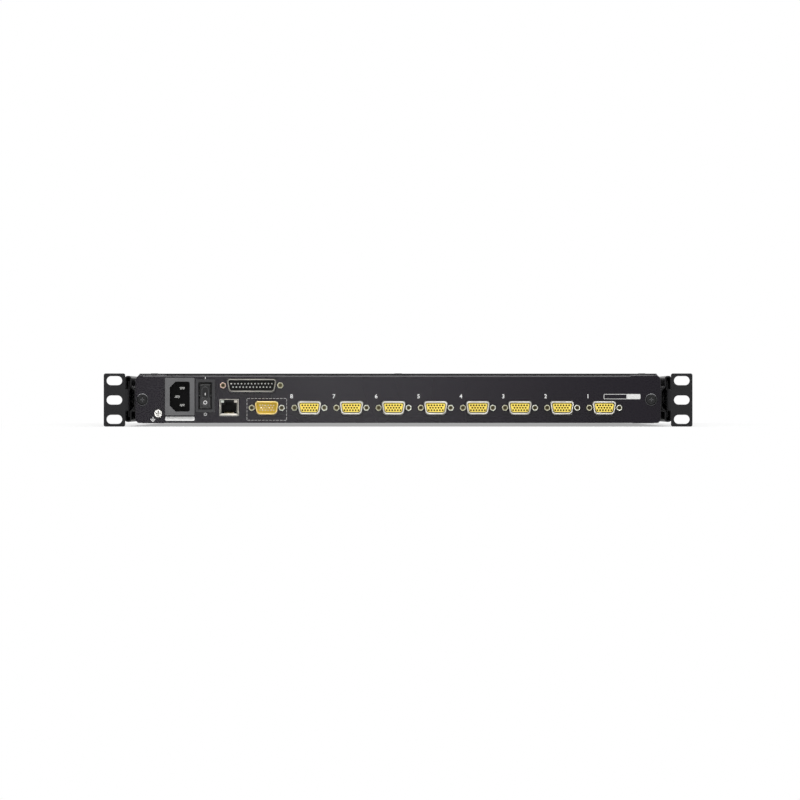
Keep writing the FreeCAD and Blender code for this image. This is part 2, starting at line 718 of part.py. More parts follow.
def top_cover():
    """The cover over the rear housing, with a stiffening lip at its front edge and a hooked rear edge."""
    half = CASE_HALF - TOP_BEVEL
    section = [
        (-half, CASE_TOP, 0.0),
        (half, CASE_TOP, 0.0),
        (half - COVER_EDGE_CHAMFER, COVER_TOP, 0.0),
        (-half + COVER_EDGE_CHAMFER, COVER_TOP, 0.0),
    ]
    plate = slab(section, in_xz(COVER_FRONT), V(0, CASE_REAR - COVER_FRONT, 0))
    lip_half = half - RIM_WIDTH - 2.0
    lip = block(
        -lip_half, lip_half, COVER_FRONT, COVER_FRONT + COVER_THICKNESS, CASE_TOP - COVER_LIP, CASE_TOP
    )
    hook = CASE_HALF - PANEL_NOTCH_MARGIN - 1.0
    rear = block(-hook, hook, PANEL_INSIDE, CASE_REAR, CASE_TOP - PANEL_NOTCH_DEPTH, CASE_TOP)
    return fused([plate, lip, rear])


def bulkhead():
    """The wall between the drawer bay and the switch housing, with a slot for the lead."""
    inset = SHEET + BULKHEAD_CLEARANCE
    wall = slab(case_outline(inset, inset), in_xz(BULKHEAD_Y), V(0, SHEET, 0))
    half = CASE_HALF - TOP_BEVEL - RIM_WIDTH - 2.0
    path = [(BULKHEAD_Y, CASE_TOP - 8.0), (BULKHEAD_Y, CASE_TOP), (BULKHEAD_Y + BULKHEAD_FLANGE, CASE_TOP)]
    fold = slab(strip(path, -SHEET, 0.4), in_yz(-half), V(2 * half, 0, 0))
    slot = slab(
        rectangle(CABLE_SLOT_X, 0.0, CABLE_SLOT_WIDTH, CABLE_SLOT_HEIGHT),
        in_xz(BULKHEAD_Y - 1),
        V(0, SHEET + 2, 0),
    )
    return fused([wall, fold]).cut(slot)


def mounting_rail():
    """The right-hand side rail: a C with a stepped web, open towards the rack post."""
    x, z, half = CASE_HALF, CASE_MIDDLE, RAIL_HEIGHT / 2
    recess = RAIL_RECESS / 2
    upper = [
        (x + RAIL_DEPTH, z + half - RAIL_LIP),
        (x + RAIL_DEPTH, z + half),
        (x + RAIL_STEP, z + half),
        (x + RAIL_STEP, z + recess + RAIL_SLANT),
        (x, z + recess),
    ]
    path = upper + [(u, 2 * z - v) for u, v in reversed(upper)]
    return slab(strip(path, RAIL_SHEET, RAIL_BEND), in_xz(RAIL_FRONT), V(0, RAIL_REAR - RAIL_FRONT, 0))


def ear_slots(count):
    """Slot outlines for one right-hand ear: two at the outer rack holes, or three."""
    steps = (-1, 1) if count == 2 else (-1, 0, 1)
    return [slot_corners(RACK_HOLE_SPAN / 2, i * RACK_HOLE_PITCH, SLOT_LENGTH, SLOT_WIDTH) for i in steps]


def front_ear():
    """The right-hand front ear: a slotted plate with a flange along the case wall."""
    inner = CASE_HALF + EAR_THICKNESS + EAR_BEND
    plate = slab(
        rectangle((inner + EAR_OUTER) / 2, 0.0, EAR_OUTER - inner, EAR_HEIGHT, EAR_CORNER),
        in_xz(-EAR_THICKNESS),
        V(0, EAR_THICKNESS, 0),
        ear_slots(2),
    )
    path = [
        (inner + EAR_CORNER, -EAR_THICKNESS),
        (CASE_HALF, -EAR_THICKNESS),
        (CASE_HALF, FRONT_FLANGE_LENGTH),
    ]
    low = CASE_MIDDLE - FRONT_FLANGE_HEIGHT / 2
    fold = slab(strip(path, -EAR_THICKNESS, EAR_BEND), in_xy(low), V(0, 0, FRONT_FLANGE_HEIGHT))
    return fused([plate, fold])


def rear_bracket():
    """The right-hand rear bracket: a slotted ear, a narrow neck and a leaf that slides in the side rail."""
    centre = (REAR_EAR_INNER + EAR_OUTER) / 2
    plate = slab(
        rectangle(centre, 0.0, EAR_OUTER - REAR_EAR_INNER, EAR_HEIGHT, EAR_CORNER),
        in_xz(REAR_EAR_Y),
        V(0, BRACKET_THICKNESS, 0),
        ear_slots(3),
    )
    back = REAR_EAR_Y + BRACKET_THICKNESS
    leaf_rear = REAR_EAR_Y - BRACKET_NECK_LENGTH
    leaf_front = leaf_rear - BRACKET_LEAF_LENGTH
    path = [(REAR_EAR_INNER + 2.0, back), (LEAF_INSIDE, back), (LEAF_INSIDE, leaf_rear - 5.0)]
    neck = slab(strip(path, BRACKET_THICKNESS, BRACKET_BEND), in_xy(-BRACKET_NECK / 2), V(0, 0, BRACKET_NECK))
    middle = (leaf_front + leaf_rear) / 2
    slots = []
    for at in BRACKET_SLOTS_AT:
        slot = rectangle(leaf_front + at, CASE_MIDDLE, BRACKET_SLOT_LENGTH, BRACKET_SLOT_WIDTH)
        slots.append(bevelled(slot, BRACKET_SLOT_BEVEL))
    leaf = slab(
        rectangle(middle, CASE_MIDDLE, BRACKET_LEAF_LENGTH, BRACKET_LEAF_HEIGHT),
        in_yz(LEAF_INSIDE),
        V(BRACKET_THICKNESS, 0, 0),
        slots,
    )
    return fused([plate, neck, leaf])


def slide_outer():
    """The right-hand outer slide member, a C with lips, fixed to the case wall."""
    z, half = SLIDE_CENTRE_Z, SLIDE_HEIGHT / 2
    tip = WALL_INSIDE - SLIDE_OUTER_DEPTH
    path = [
        (tip, z + half - SLIDE_OUTER_LIP),
        (tip, z + half),
        (WALL_INSIDE, z + half),
        (WALL_INSIDE, z - half),
        (tip, z - half),
        (tip, z - half + SLIDE_OUTER_LIP),
    ]
    return slab(strip(path, -SLIDE_SHEET, SLIDE_BEND), in_xz(SLIDE_FRONT), V(0, SLIDE_OUTER_LENGTH, 0))


def slide_middle():
    """The right-hand middle slide member, a C that opens towards the drawer."""
    z, half = SLIDE_CENTRE_Z, MIDDLE_HALF_HEIGHT
    tip = WALL_INSIDE - SLIDE_OUTER_DEPTH + SLIDE_SHEET + SLIDE_CLEARANCE
    path = [(tip, z + half), (MIDDLE_WEB_X, z + half), (MIDDLE_WEB_X, z - half), (tip, z - half)]
    return slab(strip(path, -SLIDE_SHEET, SLIDE_BEND), in_xz(SLIDE_FRONT), V(0, SLIDE_MIDDLE_LENGTH, 0))


def slide_inner():
    """The right-hand inner slide member, a C that opens outwards, fixed to the tray wall."""
    z, half = SLIDE_CENTRE_Z, INNER_HALF_HEIGHT
    tip = MIDDLE_WEB_X - SLIDE_SHEET - SLIDE_CLEARANCE
    path = [(tip, z - half), (TRAY_HALF, z - half), (TRAY_HALF, z + half), (tip, z + half)]
    return slab(strip(path, -SLIDE_SHEET, SLIDE_BEND), in_xz(SLIDE_FRONT), V(0, SLIDE_INNER_LENGTH, 0))


def drawer_tray():
    """The folded tray that carries the keyboard and the screen hinges."""
    path = [
        (-TRAY_HALF, TRAY_RIM_Z),
        (-TRAY_HALF, TRAY_BOTTOM),
        (TRAY_HALF, TRAY_BOTTOM),
        (TRAY_HALF, TRAY_RIM_Z),
    ]
    body = slab(strip(path, TRAY_SHEET, BEND), in_xz(0.0), V(0, TRAY_REAR, 0))
    half = TRAY_HALF - TRAY_SHEET
    front = block(-half, half, 0.0, TRAY_SHEET, TRAY_FLOOR, TRAY_RIM_Z)
    rear = block(-half, half, TRAY_REAR - TRAY_SHEET, TRAY_REAR, TRAY_FLOOR, TRAY_REAR_WALL_Z)
    notch = slab(
        rectangle(0.0, TRAY_REAR_WALL_Z, TRAY_NOTCH_WIDTH, 2 * TRAY_NOTCH_DEPTH),
        in_xz(TRAY_REAR - TRAY_SHEET - 1),
        V(0, TRAY_SHEET + 2, 0),
    )
    return fused([body, front, rear]).cut(notch)


def front_handle():
    """The bar across the drawer's front, with a finger grip below and a pocket for each catch."""
    nose = HANDLE_NOSE
    top = HANDLE_TOP
    section = [
        (0.0, HANDLE_BOTTOM, 0.6),
        (0.0, top, 0.6),
        (-HANDLE_DEPTH, top, 2.2),
        (-HANDLE_DEPTH, HANDLE_BOTTOM + nose, nose),
        (-HANDLE_DEPTH + nose + 1.5, HANDLE_BOTTOM, 2.0),
    ]
    bar = slab(section, in_yz(-HANDLE_HALF_WIDTH), V(2 * HANDLE_HALF_WIDTH, 0, 0))
    grip = [
        (-HANDLE_DEPTH + 4.0, HANDLE_BOTTOM - 1, 0.0),
        (-HANDLE_DEPTH + 4.0 + GRIP_DEPTH, HANDLE_BOTTOM - 1, 0.0),
        (-HANDLE_DEPTH + 4.0 + GRIP_DEPTH, HANDLE_BOTTOM + GRIP_HEIGHT, 4.0),
        (-HANDLE_DEPTH + 4.0, HANDLE_BOTTOM + GRIP_HEIGHT, 4.0),
    ]
    cut = [slab(grip, in_yz(-GRIP_WIDTH / 2), V(GRIP_WIDTH, 0, 0))]
    clear = CATCH_CLEARANCE
    z = CATCH_Z
    for side in (-1, 1):
        inner = side * (CATCH_X - CATCH_WIDTH / 2 - CATCH_TRAVEL - clear)
        outer = side * (CATCH_X + CATCH_WIDTH / 2 + clear)
        x0, x1 = sorted((inner, outer))
        high = CATCH_HEIGHT / 2 + clear
        cut.append(
            block(x0, x1, -HANDLE_DEPTH - 1, -HANDLE_DEPTH + CATCH_DEPTH + clear, z - high, z + high)
        )
        x0, x1 = sorted((outer - side, side * (HANDLE_HALF_WIDTH + 1)))
        tongue_high = CATCH_HEIGHT / 4 + clear
        cut.append(
            block(
                x0,
                x1,
                -HANDLE_DEPTH + 2.0 - clear,
                -HANDLE_DEPTH + CATCH_DEPTH + clear,
                z - tongue_high,
                z + tongue_high,
            )
        )
    return bar.cut(Part.makeCompound(cut))


def release_catch():
    """The right-hand thumb catch: a ridged slider with a tongue towards the end of the bar."""
    z = CATCH_Z
    front = -HANDLE_DEPTH - CATCH_PROUD
    body = block(
        CATCH_X - CATCH_WIDTH / 2,
        CATCH_X + CATCH_WIDTH / 2,
        -HANDLE_DEPTH - 0.2,
        -HANDLE_DEPTH + CATCH_DEPTH,
        z - CATCH_HEIGHT / 2,
        z + CATCH_HEIGHT / 2,
    )
    tongue = block(
        CATCH_X,
        HANDLE_HALF_WIDTH,
        -HANDLE_DEPTH + 2.0,
        -HANDLE_DEPTH + CATCH_DEPTH,
        z - CATCH_HEIGHT / 4,
        z + CATCH_HEIGHT / 4,
    )
    ridges = []
    for i in range(CATCH_RIDGES):
        x = CATCH_X + (i - (CATCH_RIDGES - 1) / 2) * CATCH_WIDTH / (CATCH_RIDGES + 1)
        points = [(x - 1.1, -HANDLE_DEPTH - 0.2, 0.0), (x, front, 0.0), (x + 1.1, -HANDLE_DEPTH - 0.2, 0.0)]
        ridges.append(
            slab(points, in_xy(z - CATCH_HEIGHT / 2 + 1.0), V(0, 0, CATCH_HEIGHT - 2.0))
        )
    return fused([body, tongue] + ridges)


def key_wells():
    """Plan outlines of the two key openings in the deck."""
    middle = (KEYBOARD_FRONT + KEYBOARD_REAR) / 2
    wells = []
    for left, units in ((KEY_BLOCK_LEFT, MAIN_BLOCK_UNITS), (NUMBER_BLOCK_LEFT, PAD_BLOCK_UNITS)):
        width = units * KEY_PITCH
        wells.append(
            rectangle(
                left + width / 2,
                middle,
                width + 2 * KEY_WELL_MARGIN,
                KEYBOARD_DEPTH + 2 * KEY_WELL_MARGIN,
            )
        )
    return wells


def pad_button_outline(side, gap):
    """Plan outline of one touchpad button, grown by gap."""
    width = PAD_WIDTH / 2 - PAD_CLEARANCE / 2
    centre = PAD_CENTRE_X + side * (PAD_CLEARANCE / 2 + width / 2)
    middle = PAD_FRONT - PAD_BUTTON_SPACE - PAD_BUTTON_LENGTH / 2
    return rectangle(centre, middle, width + 2 * gap, PAD_BUTTON_LENGTH + 2 * gap)


def pad_outline(gap):
    """Plan outline of the touchpad, grown by gap."""
    return rectangle(PAD_CENTRE_X, PAD_FRONT + PAD_LENGTH / 2, PAD_WIDTH + 2 * gap, PAD_LENGTH + 2 * gap)


def keyboard_deck():
    """The moulded keyboard surround: a raised rim, wells for the keys and the touchpad, and a skirt."""
    front, rear = TRAY_SHEET + DECK_FIT, DECK_REAR
    middle, length = (front + rear) / 2, rear - front
    buttons = rectangle(
        PAD_CENTRE_X,
        PAD_FRONT - PAD_BUTTON_SPACE - PAD_BUTTON_LENGTH / 2,
        PAD_WIDTH + 2 * PAD_CLEARANCE,
        PAD_BUTTON_LENGTH + 2 * PAD_CLEARANCE,
    )
    outer = rectangle(0.0, middle, 2 * DECK_HALF, length)
    plate = slab(
        outer, in_xy(DECK_UNDER), V(0, 0, DECK_THICKNESS), key_wells() + [pad_outline(PAD_CLEARANCE), buttons]
    )
    rim_hole = rectangle(0.0, middle, 2 * DECK_HALF - 2 * DECK_RIM_WIDTH, length - 2 * DECK_RIM_WIDTH, 4.0)
    rim = slab(outer, in_xy(DECK_TOP), V(0, 0, TRAY_RIM_Z - DECK_TOP), [rim_hole])
    half = DECK_HALF - BEND
    skirt_hole = rectangle(0.0, middle, 2 * (half - DECK_WALL), length - 2 * DECK_WALL)
    skirt = slab(
        rectangle(0.0, middle, 2 * half, length),
        in_xy(TRAY_FLOOR),
        V(0, 0, DECK_UNDER - TRAY_FLOOR),
        [skirt_hole],
    )
    return fused([plate, rim, skirt])


def keyboard_base():
    """The key housing under the deck, with a guide rib between each two rows of keys."""
    low_x = KEY_BLOCK_LEFT - KEYBASE_MARGIN
    high_x = NUMBER_BLOCK_LEFT + PAD_BLOCK_UNITS * KEY_PITCH + KEYBASE_MARGIN
    plate = block(
        low_x,
        high_x,
        KEYBOARD_FRONT - KEYBASE_MARGIN,
        KEYBOARD_REAR + KEYBASE_MARGIN,
        TRAY_FLOOR,
        KEYBASE_TOP,
    )
    ribs = []
    for i in range(len(KEY_ROWS) + 1):
        y = KEYBOARD_FRONT + i * KEY_PITCH
        ribs.append(
            block(low_x, high_x, y - GUIDE_RIB / 2, y + GUIDE_RIB / 2, KEYBASE_TOP, KEY_BOTTOM + 1.5)
        )
    return fused([plate] + ribs)


def key_cap(x, y, units):
    """One key: a tapered cap, units pitches wide, whose left front corner of pitch is at x, y."""
    middle_x, middle_y = x + units * KEY_PITCH / 2, y + KEY_PITCH / 2
    width, length = units * KEY_PITCH - KEY_GAP, KEY_PITCH - KEY_GAP
    low = (middle_x, middle_y, width, length)
    high = (middle_x, middle_y + KEY_LEAN, width - 2 * KEY_TAPER, length - 2 * KEY_TAPER)
    return frustum(low, KEY_BOTTOM, high, KEY_TOP)


def key_row(index):
    """All the keys of one row, as separate solids."""
    name, main, pad = KEY_ROWS[index]
    y = KEYBOARD_REAR - (index + 1) * KEY_PITCH
    keys = []
    for x, widths in ((KEY_BLOCK_LEFT, main), (NUMBER_BLOCK_LEFT, pad)):
        for units in widths:
            keys.append(key_cap(x, y, units))
            x += units * KEY_PITCH
    return Part.makeCompound(keys)


def touchpad():
    """The touch surface in its well, with a backing plate against the deck's underside."""
    plate = slab(pad_outline(0.0), in_xy(DECK_UNDER), V(0, 0, DECK_THICKNESS - PAD_SUNK))
    backing = slab(
        rectangle(
            PAD_CENTRE_X,
            PAD_FRONT + PAD_LENGTH / 2 + 1.0,
            PAD_WIDTH + 6.0,
            PAD_LENGTH + 4.0,
        ),
        in_xy(DECK_UNDER - PAD_BACKING),
        V(0, 0, PAD_BACKING),
    )
    return fused([plate, backing])


def touchpad_button(side):
    """One of the two click buttons in front of the touch surface."""
    return slab(
        pad_button_outline(side, 0.0), in_xy(DECK_TOP + 0.2 - PAD_BUTTON_HEIGHT), V(0, 0, PAD_BUTTON_HEIGHT)
    )


def hinge_bracket():
    """The right-hand hinge foot on the tray: a base plate, a web and a bored knuckle."""
    x0, x1 = HINGE_X, HINGE_X + HINGE_KNUCKLE
    base = block(
        x0,
        x1 + HINGE_ARM_WIDTH,
        HINGE_Y - HINGE_BASE_LENGTH / 2,
        HINGE_Y + HINGE_BASE_LENGTH / 2,
        TRAY_FLOOR,
        TRAY_FLOOR + HINGE_BASE_THICKNESS,
    )
    web = block(x0, x1, HINGE_Y - HINGE_WEB / 2, HINGE_Y + HINGE_WEB / 2, TRAY_FLOOR, HINGE_Z)
    barrel = Part.makeCylinder(HINGE_BARREL_RADIUS, HINGE_KNUCKLE, V(x0, HINGE_Y, HINGE_Z), V(1, 0, 0))
    bore = Part.makeCylinder(
        HINGE_PIN_RADIUS + HINGE_PIN_CLEARANCE, HINGE_KNUCKLE + 2, V(x0 - 1, HINGE_Y, HINGE_Z), V(1, 0, 0)
    )
    return fused([base, web, barrel]).cut(bore)


def hinge_arm():
    """The right-hand hinge arm on the screen: a leaf, a barrel and the pin that turns in the knuckle."""
    x0 = HINGE_X + HINGE_KNUCKLE + HINGE_SIDE_GAP
    barrel = Part.makeCylinder(HINGE_BARREL_RADIUS, HINGE_ARM_WIDTH, V(x0, HINGE_Y, HINGE_Z), V(1, 0, 0))
    pin_start = HINGE_X - 2.0
    pin = Part.makeCylinder(HINGE_PIN_RADIUS, x0 - pin_start, V(pin_start, HINGE_Y, HINGE_Z), V(1, 0, 0))
    leaf = block(
        x0,
        x0 + HINGE_ARM_WIDTH,
        LID_REAR - LID_WALL - HINGE_LEAF_LENGTH,
        HINGE_Y,
        BEZEL_TOP,
        BEZEL_TOP + HINGE_LEAF_THICKNESS,
    )
    return fused([barrel, pin, leaf])


def lid_cover():
    """The screen's rear shell, with a wider lip along its front edge and a pressed field on its back."""
    middle, length = (LID_FRONT + LID_REAR) / 2, LID_REAR - LID_FRONT
    rise = V(0, 0, LID_TOP - BEZEL_TOP)
    body = slab(rectangle(0.0, middle, 2 * LID_HALF_WIDTH, length, LID_CORNER), in_xy(BEZEL_TOP), rise)
    lip_middle, lip_length = (LID_FRONT + LID_LIP_BACK) / 2, LID_LIP_BACK - LID_FRONT
    lip = slab(rectangle(0.0, lip_middle, 2 * HANDLE_HALF_WIDTH, lip_length, 3.0), in_xy(BEZEL_TOP), rise)
    outer = fused([body, lip])
    rim = [e for e in outer.Edges if all(abs(v.Z - LID_TOP) < 1e-6 for v in e.Vertexes)]
    outer = outer.makeChamfer(LID_EDGE / 2, rim)
    inner = slab(
        rectangle(0.0, middle, 2 * (LID_HALF_WIDTH - LID_WALL), length - 2 * LID_WALL, LID_CORNER - LID_WALL),
        in_xy(BEZEL_TOP - 1),
        V(0, 0, LID_TOP - LID_WALL - BEZEL_TOP + 1),
    )
    field_width = 2 * (LID_HALF_WIDTH - LID_PRESSING_MARGIN)
    field = slab(
        rectangle(0.0, middle + 8.0, field_width, length - 2 * LID_PRESSING_MARGIN, 8.0),
        in_xy(LID_TOP - LID_PRESSING_DEPTH),
        V(0, 0, LID_PRESSING_DEPTH + 1),
    )
    shell = outer.cut(inner).cut(field)
    notches = []
    for side in (-1, 1):
        start = HINGE_X + HINGE_KNUCKLE + HINGE_SIDE_GAP - 0.2
        x0, x1 = sorted((side * start, side * (start + HINGE_ARM_WIDTH + 0.4)))
        high = BEZEL_TOP + HINGE_LEAF_THICKNESS + 0.2
        notches.append(block(x0, x1, LID_REAR - 2 * LID_WALL, LID_REAR + 1, BEZEL_TOP - 1, high))
    posts = []
    panel_top = BEZEL_TOP + PANEL_THICKNESS
    roof = LID_TOP - LID_WALL
    for x in (-PANEL_WIDTH / 2 + 12, PANEL_WIDTH / 2 - 12):
        for y in (SCREEN_FRONT + 6, SCREEN_FRONT + SCREEN_HEIGHT - 6):
            posts.append(slab(polygon(x, y, LID_POST_FLATS, 6), in_xy(panel_top), V(0, 0, roof - panel_top)))
    board_top = BUTTON_BOARD_Z + BUTTON_BOARD_THICKNESS
    for x in button_board_ends():
        post = polygon(x, BUTTON_ROW_Y, LID_POST_FLATS, 6)
        posts.append(slab(post, in_xy(board_top), V(0, 0, roof - board_top)))
    return fused([shell.cut(Part.makeCompound(notches))] + posts)


def button_centres():
    """Where each button of the screen's strip is, by name."""
    last = POWER_BUTTON_X - BUTTON_TO_POWER
    count = len(BUTTON_NAMES)
    places = {name: last - (count - 1 - i) * BUTTON_PITCH for i, name in enumerate(BUTTON_NAMES)}
    places["screen_power_button"] = POWER_BUTTON_X
    return places


def button_board_ends():
    """Where the button board is screwed to the shell."""
    xs = button_centres().values()
    middle = (min(xs) + max(xs)) / 2
    return (middle - BUTTON_BOARD_WIDTH / 2 + 5, middle + BUTTON_BOARD_WIDTH / 2 - 5)


def lid_bezel():
    """The front frame round the screen, with sloped inner edges and a hole for each button."""
    middle, length = (LID_FRONT + LID_REAR) / 2, LID_REAR - LID_FRONT
    holes = [
        rectangle(x, BUTTON_ROW_Y, BUTTON_WIDTH + 2 * BUTTON_FIT, BUTTON_LENGTH + 2 * BUTTON_FIT)
        for x in button_centres().values()
    ]
    frame = slab(
        rectangle(0.0, middle, 2 * LID_HALF_WIDTH, length, LID_CORNER),
        in_xy(LID_BOTTOM),
        V(0, 0, BEZEL_THICKNESS),
        holes,
    )
    lip_middle, lip_length = (LID_FRONT + LID_LIP_BACK) / 2, LID_LIP_BACK - LID_FRONT
    lip_outline = rectangle(0.0, lip_middle, 2 * HANDLE_HALF_WIDTH, lip_length, 3.0)
    lip = slab(lip_outline, in_xy(LID_BOTTOM), V(0, 0, BEZEL_THICKNESS))
    low = (0.0, SCREEN_MIDDLE, SCREEN_WIDTH + 2 * BEZEL_SLOPE, SCREEN_HEIGHT + 2 * BEZEL_SLOPE)
    window = frustum(low, LID_BOTTOM, (0.0, SCREEN_MIDDLE, SCREEN_WIDTH, SCREEN_HEIGHT), BEZEL_TOP)
    return fused([frame, lip]).cut(window)


def lcd_panel():
    """The display module on the back of the bezel."""
    return block(
        -PANEL_WIDTH / 2,
        PANEL_WIDTH / 2,
        SCREEN_MIDDLE - PANEL_LENGTH / 2,
        SCREEN_MIDDLE + PANEL_LENGTH / 2,
        BEZEL_TOP,
        BEZEL_TOP + PANEL_THICKNESS,
    )


def button_board():
    """The small board behind the screen's buttons."""
    xs = button_centres().values()
    middle = (min(xs) + max(xs)) / 2
    return block(
        middle - BUTTON_BOARD_WIDTH / 2,
        middle + BUTTON_BOARD_WIDTH / 2,
        BUTTON_ROW_Y - BUTTON_BOARD_LENGTH / 2,
        BUTTON_ROW_Y + BUTTON_BOARD_LENGTH / 2,
        BUTTON_BOARD_Z,
        BUTTON_BOARD_Z + BUTTON_BOARD_THICKNESS,
    )


def screen_button(x):
    """One button of the screen's strip: a small cap with a wider head inside the bezel."""
    cap = slab(
        rectangle(x, BUTTON_ROW_Y, BUTTON_WIDTH, BUTTON_LENGTH),
        in_xy(LID_BOTTOM - BUTTON_PROUD),
        V(0, 0, BUTTON_PROUD + BEZEL_THICKNESS),
    )
    head = block(
        x - BUTTON_WIDTH / 2 - 1.0,
        x + BUTTON_WIDTH / 2 + 1.0,
        BUTTON_ROW_Y - BUTTON_LENGTH / 2 - 1.0,
        BUTTON_ROW_Y + BUTTON_LENGTH / 2 + 1.0,
        BEZEL_TOP,
        BUTTON_BACK,
    )
    return fused([cap, head])


def inlet_mouth(grow=0.0):
    """The mains inlet's mouth: two chamfered corners on the earth side."""
    u, v = INLET_AT
    w, h = INLET_MOUTH[0] / 2 + grow, INLET_MOUTH[1] / 2 + grow
    c = INLET_MOUTH_CHAMFER
    return [
        (u - w, v - h, INLET_MOUTH_CORNER),
        (u + w - c, v - h, 0.0),
        (u + w, v - h + c, 0.0),
        (u + w, v + h - c, 0.0),
        (u + w - c, v + h, 0.0),
        (u - w, v + h, INLET_MOUTH_CORNER),
    ]


def power_inlet():
    """The mains inlet: a bezel on the panel, a body behind it and a deep mouth."""
    bezel = slab(rectangle(*INLET_AT, *INLET_BEZEL, 0.8), in_xz(CASE_REAR), V(0, INLET_PROUD, 0))
    body = slab(
        rectangle(*INLET_AT, *INLET_BODY), in_xz(CASE_REAR - INLET_DEPTH), V(0, INLET_DEPTH, 0)
    )
    start = CASE_REAR - INLET_DEPTH + INLET_FLOOR
    mouth = slab(inlet_mouth(), in_xz(start), V(0, CASE_REAR + INLET_PROUD + 1 - start, 0))
    return fused([bezel, body]).cut(mouth)


def blade_boxes():
    """The three inlet blades: two on the flat side and the earth nearer the chamfers."""
    u, v = INLET_AT
    start = CASE_REAR - INLET_DEPTH + INLET_FLOOR
    tip = CASE_REAR + INLET_PROUD - BLADE_SUNK
    boxes = []
    half = BLADE_SPACING / 2
    for du, dv in ((-BLADE_OFFSET, half), (BLADE_OFFSET, 0.0), (-BLADE_OFFSET, -half)):
        outline = rectangle(u + du, v + dv, BLADE_WIDTH, BLADE_THICKNESS, 0.0)
        boxes.append(slab(outline, in_xz(start), V(0, tip - start, 0)))
    return boxes


def power_switch_frame():
    """The rocker's frame: a bezel on the panel and a body with bearings for the rocker's pins."""
    window = rectangle(*SWITCH_AT, *SWITCH_WINDOW)
    bezel = slab(rectangle(*SWITCH_AT, *SWITCH_BEZEL), in_xz(CASE_REAR), V(0, SWITCH_PROUD, 0), [window])
    body = slab(
        rectangle(*SWITCH_AT, *SWITCH_BODY), in_xz(CASE_REAR - SWITCH_DEPTH), V(0, SWITCH_DEPTH, 0), [window]
    )
    floor = slab(rectangle(*SWITCH_AT, *SWITCH_BODY), in_xz(CASE_REAR - SWITCH_DEPTH), V(0, 1.5, 0))
    u, v = SWITCH_AT
    bearing = Part.makeCylinder(
        ROCKER_PIN_RADIUS + ROCKER_PIN_CLEARANCE,
        SWITCH_BODY[0] + 2,
        V(u - SWITCH_BODY[0] / 2 - 1, ROCKER_PIVOT_Y, v),
        V(1, 0, 0),
    )
    return fused([bezel, body, floor]).cut(bearing)


def power_rocker():
    """The rocker: a shallow V of two faces on a wedge body, with a pin at each side."""
    u, v = SWITCH_AT
    half = ROCKER_HALF_LENGTH
    section = [
        (4.2, 0.0, 6.0),
        (5.9, half, 0.8),
        (1.6, half + 0.1, 0.0),
        (-3.4, 4.5, 0.0),
        (-3.4, -4.5, 0.0),
        (1.6, -half - 0.1, 0.0),
        (5.9, -half, 0.8),
    ]
    corners = [(ROCKER_PIVOT_Y + y, v + z, r) for y, z, r in section]
    body = slab(corners, in_yz(u - ROCKER_WIDTH / 2), V(ROCKER_WIDTH, 0, 0))
    reach = SWITCH_BODY[0] / 2
    pin = Part.makeCylinder(ROCKER_PIN_RADIUS, 2 * reach, V(u - reach, ROCKER_PIVOT_Y, v), V(1, 0, 0))
    rocker = fused([body, pin])
    rocker.rotate(V(u, ROCKER_PIVOT_Y, v), V(1, 0, 0), -ROCKER_SWING / 2)
    return rocker


def network_jack_shell():
    """The network jack's metal shell, open at the rear face of the panel."""
    start = CASE_REAR + JACK_PROUD - JACK_DEPTH
    u, v = JACK_AT
    inner = rectangle(u, v, JACK_SIZE[0] - 2 * JACK_SHELL, JACK_SIZE[1] - 2 * JACK_SHELL)
    sleeve = slab(rectangle(u, v, *JACK_SIZE), in_xz(start), V(0, JACK_DEPTH, 0), [inner])
    back = slab(rectangle(u, v, *JACK_SIZE), in_xz(start), V(0, JACK_SHELL, 0))
    return fused([sleeve, back])


def jack_mouth():
    """The network jack's stepped mouth, latch notch up."""
    u, v = JACK_AT
    w, h = JACK_MOUTH[0] / 2, JACK_MOUTH[1]
    n, rise = JACK_NOTCH[0] / 2, JACK_NOTCH[1]
    low = v - (h + rise) / 2 - 0.3
    return [
        (u - w, low, 0.0),
        (u + w, low, 0.0),
        (u + w, low + h, 0.0),
        (u + n, low + h, 0.0),
        (u + n, low + h + rise, 0.0),
        (u - n, low + h + rise, 0.0),
        (u - n, low + h, 0.0),
        (u - w, low + h, 0.0),
    ]


def network_jack_insert():
    """The network jack's moulded inside."""
    start = CASE_REAR + JACK_PROUD - JACK_DEPTH + JACK_SHELL
    u, v = JACK_AT
    outer = rectangle(u, v, JACK_SIZE[0] - 2 * JACK_SHELL, JACK_SIZE[1] - 2 * JACK_SHELL)
    length = JACK_DEPTH - JACK_SHELL - 0.3
    solid = slab(outer, in_xz(start), V(0, length, 0))
    return solid.cut(slab(jack_mouth(), in_xz(start + 2.0), V(0, length, 0)))


def jack_contacts():
    """The eight spring contacts along the bottom of the network jack."""
    u, v = JACK_AT
    low = v - (JACK_MOUTH[1] + JACK_NOTCH[1]) / 2 - 0.3
    back = CASE_REAR + JACK_PROUD - JACK_DEPTH + JACK_SHELL + 2.0
    front = CASE_REAR + JACK_PROUD - 2.0
    contacts = []
    for i in range(JACK_CONTACTS):
        x = u + (i - (JACK_CONTACTS - 1) / 2) * JACK_CONTACT_PITCH
        points = [(front, low, 0.0), (front, low + 0.5, 0.0), (back, low + 2.6, 0.0), (back, low, 0.0)]
        contacts.append(slab(points, in_yz(x - JACK_CONTACT_WIDTH / 2), V(JACK_CONTACT_WIDTH, 0, 0)))
    return contacts


def shell_outside(centre, size):
    """A port shell's own outline, each corner rounded by three short flats."""
    return bevelled(bevelled(d_outline(*centre, *size, 0), SHELL_CORNER), SHELL_CORNER_FLAT)


def shell_inside(centre, size, wall):
    """The outline left inside a port's shell by a wall of the given thickness."""
    return bevelled(d_outline(*centre, size[0] - 2 * wall, size[1] - 2 * wall, 0), SHELL_INSIDE_BEVEL)


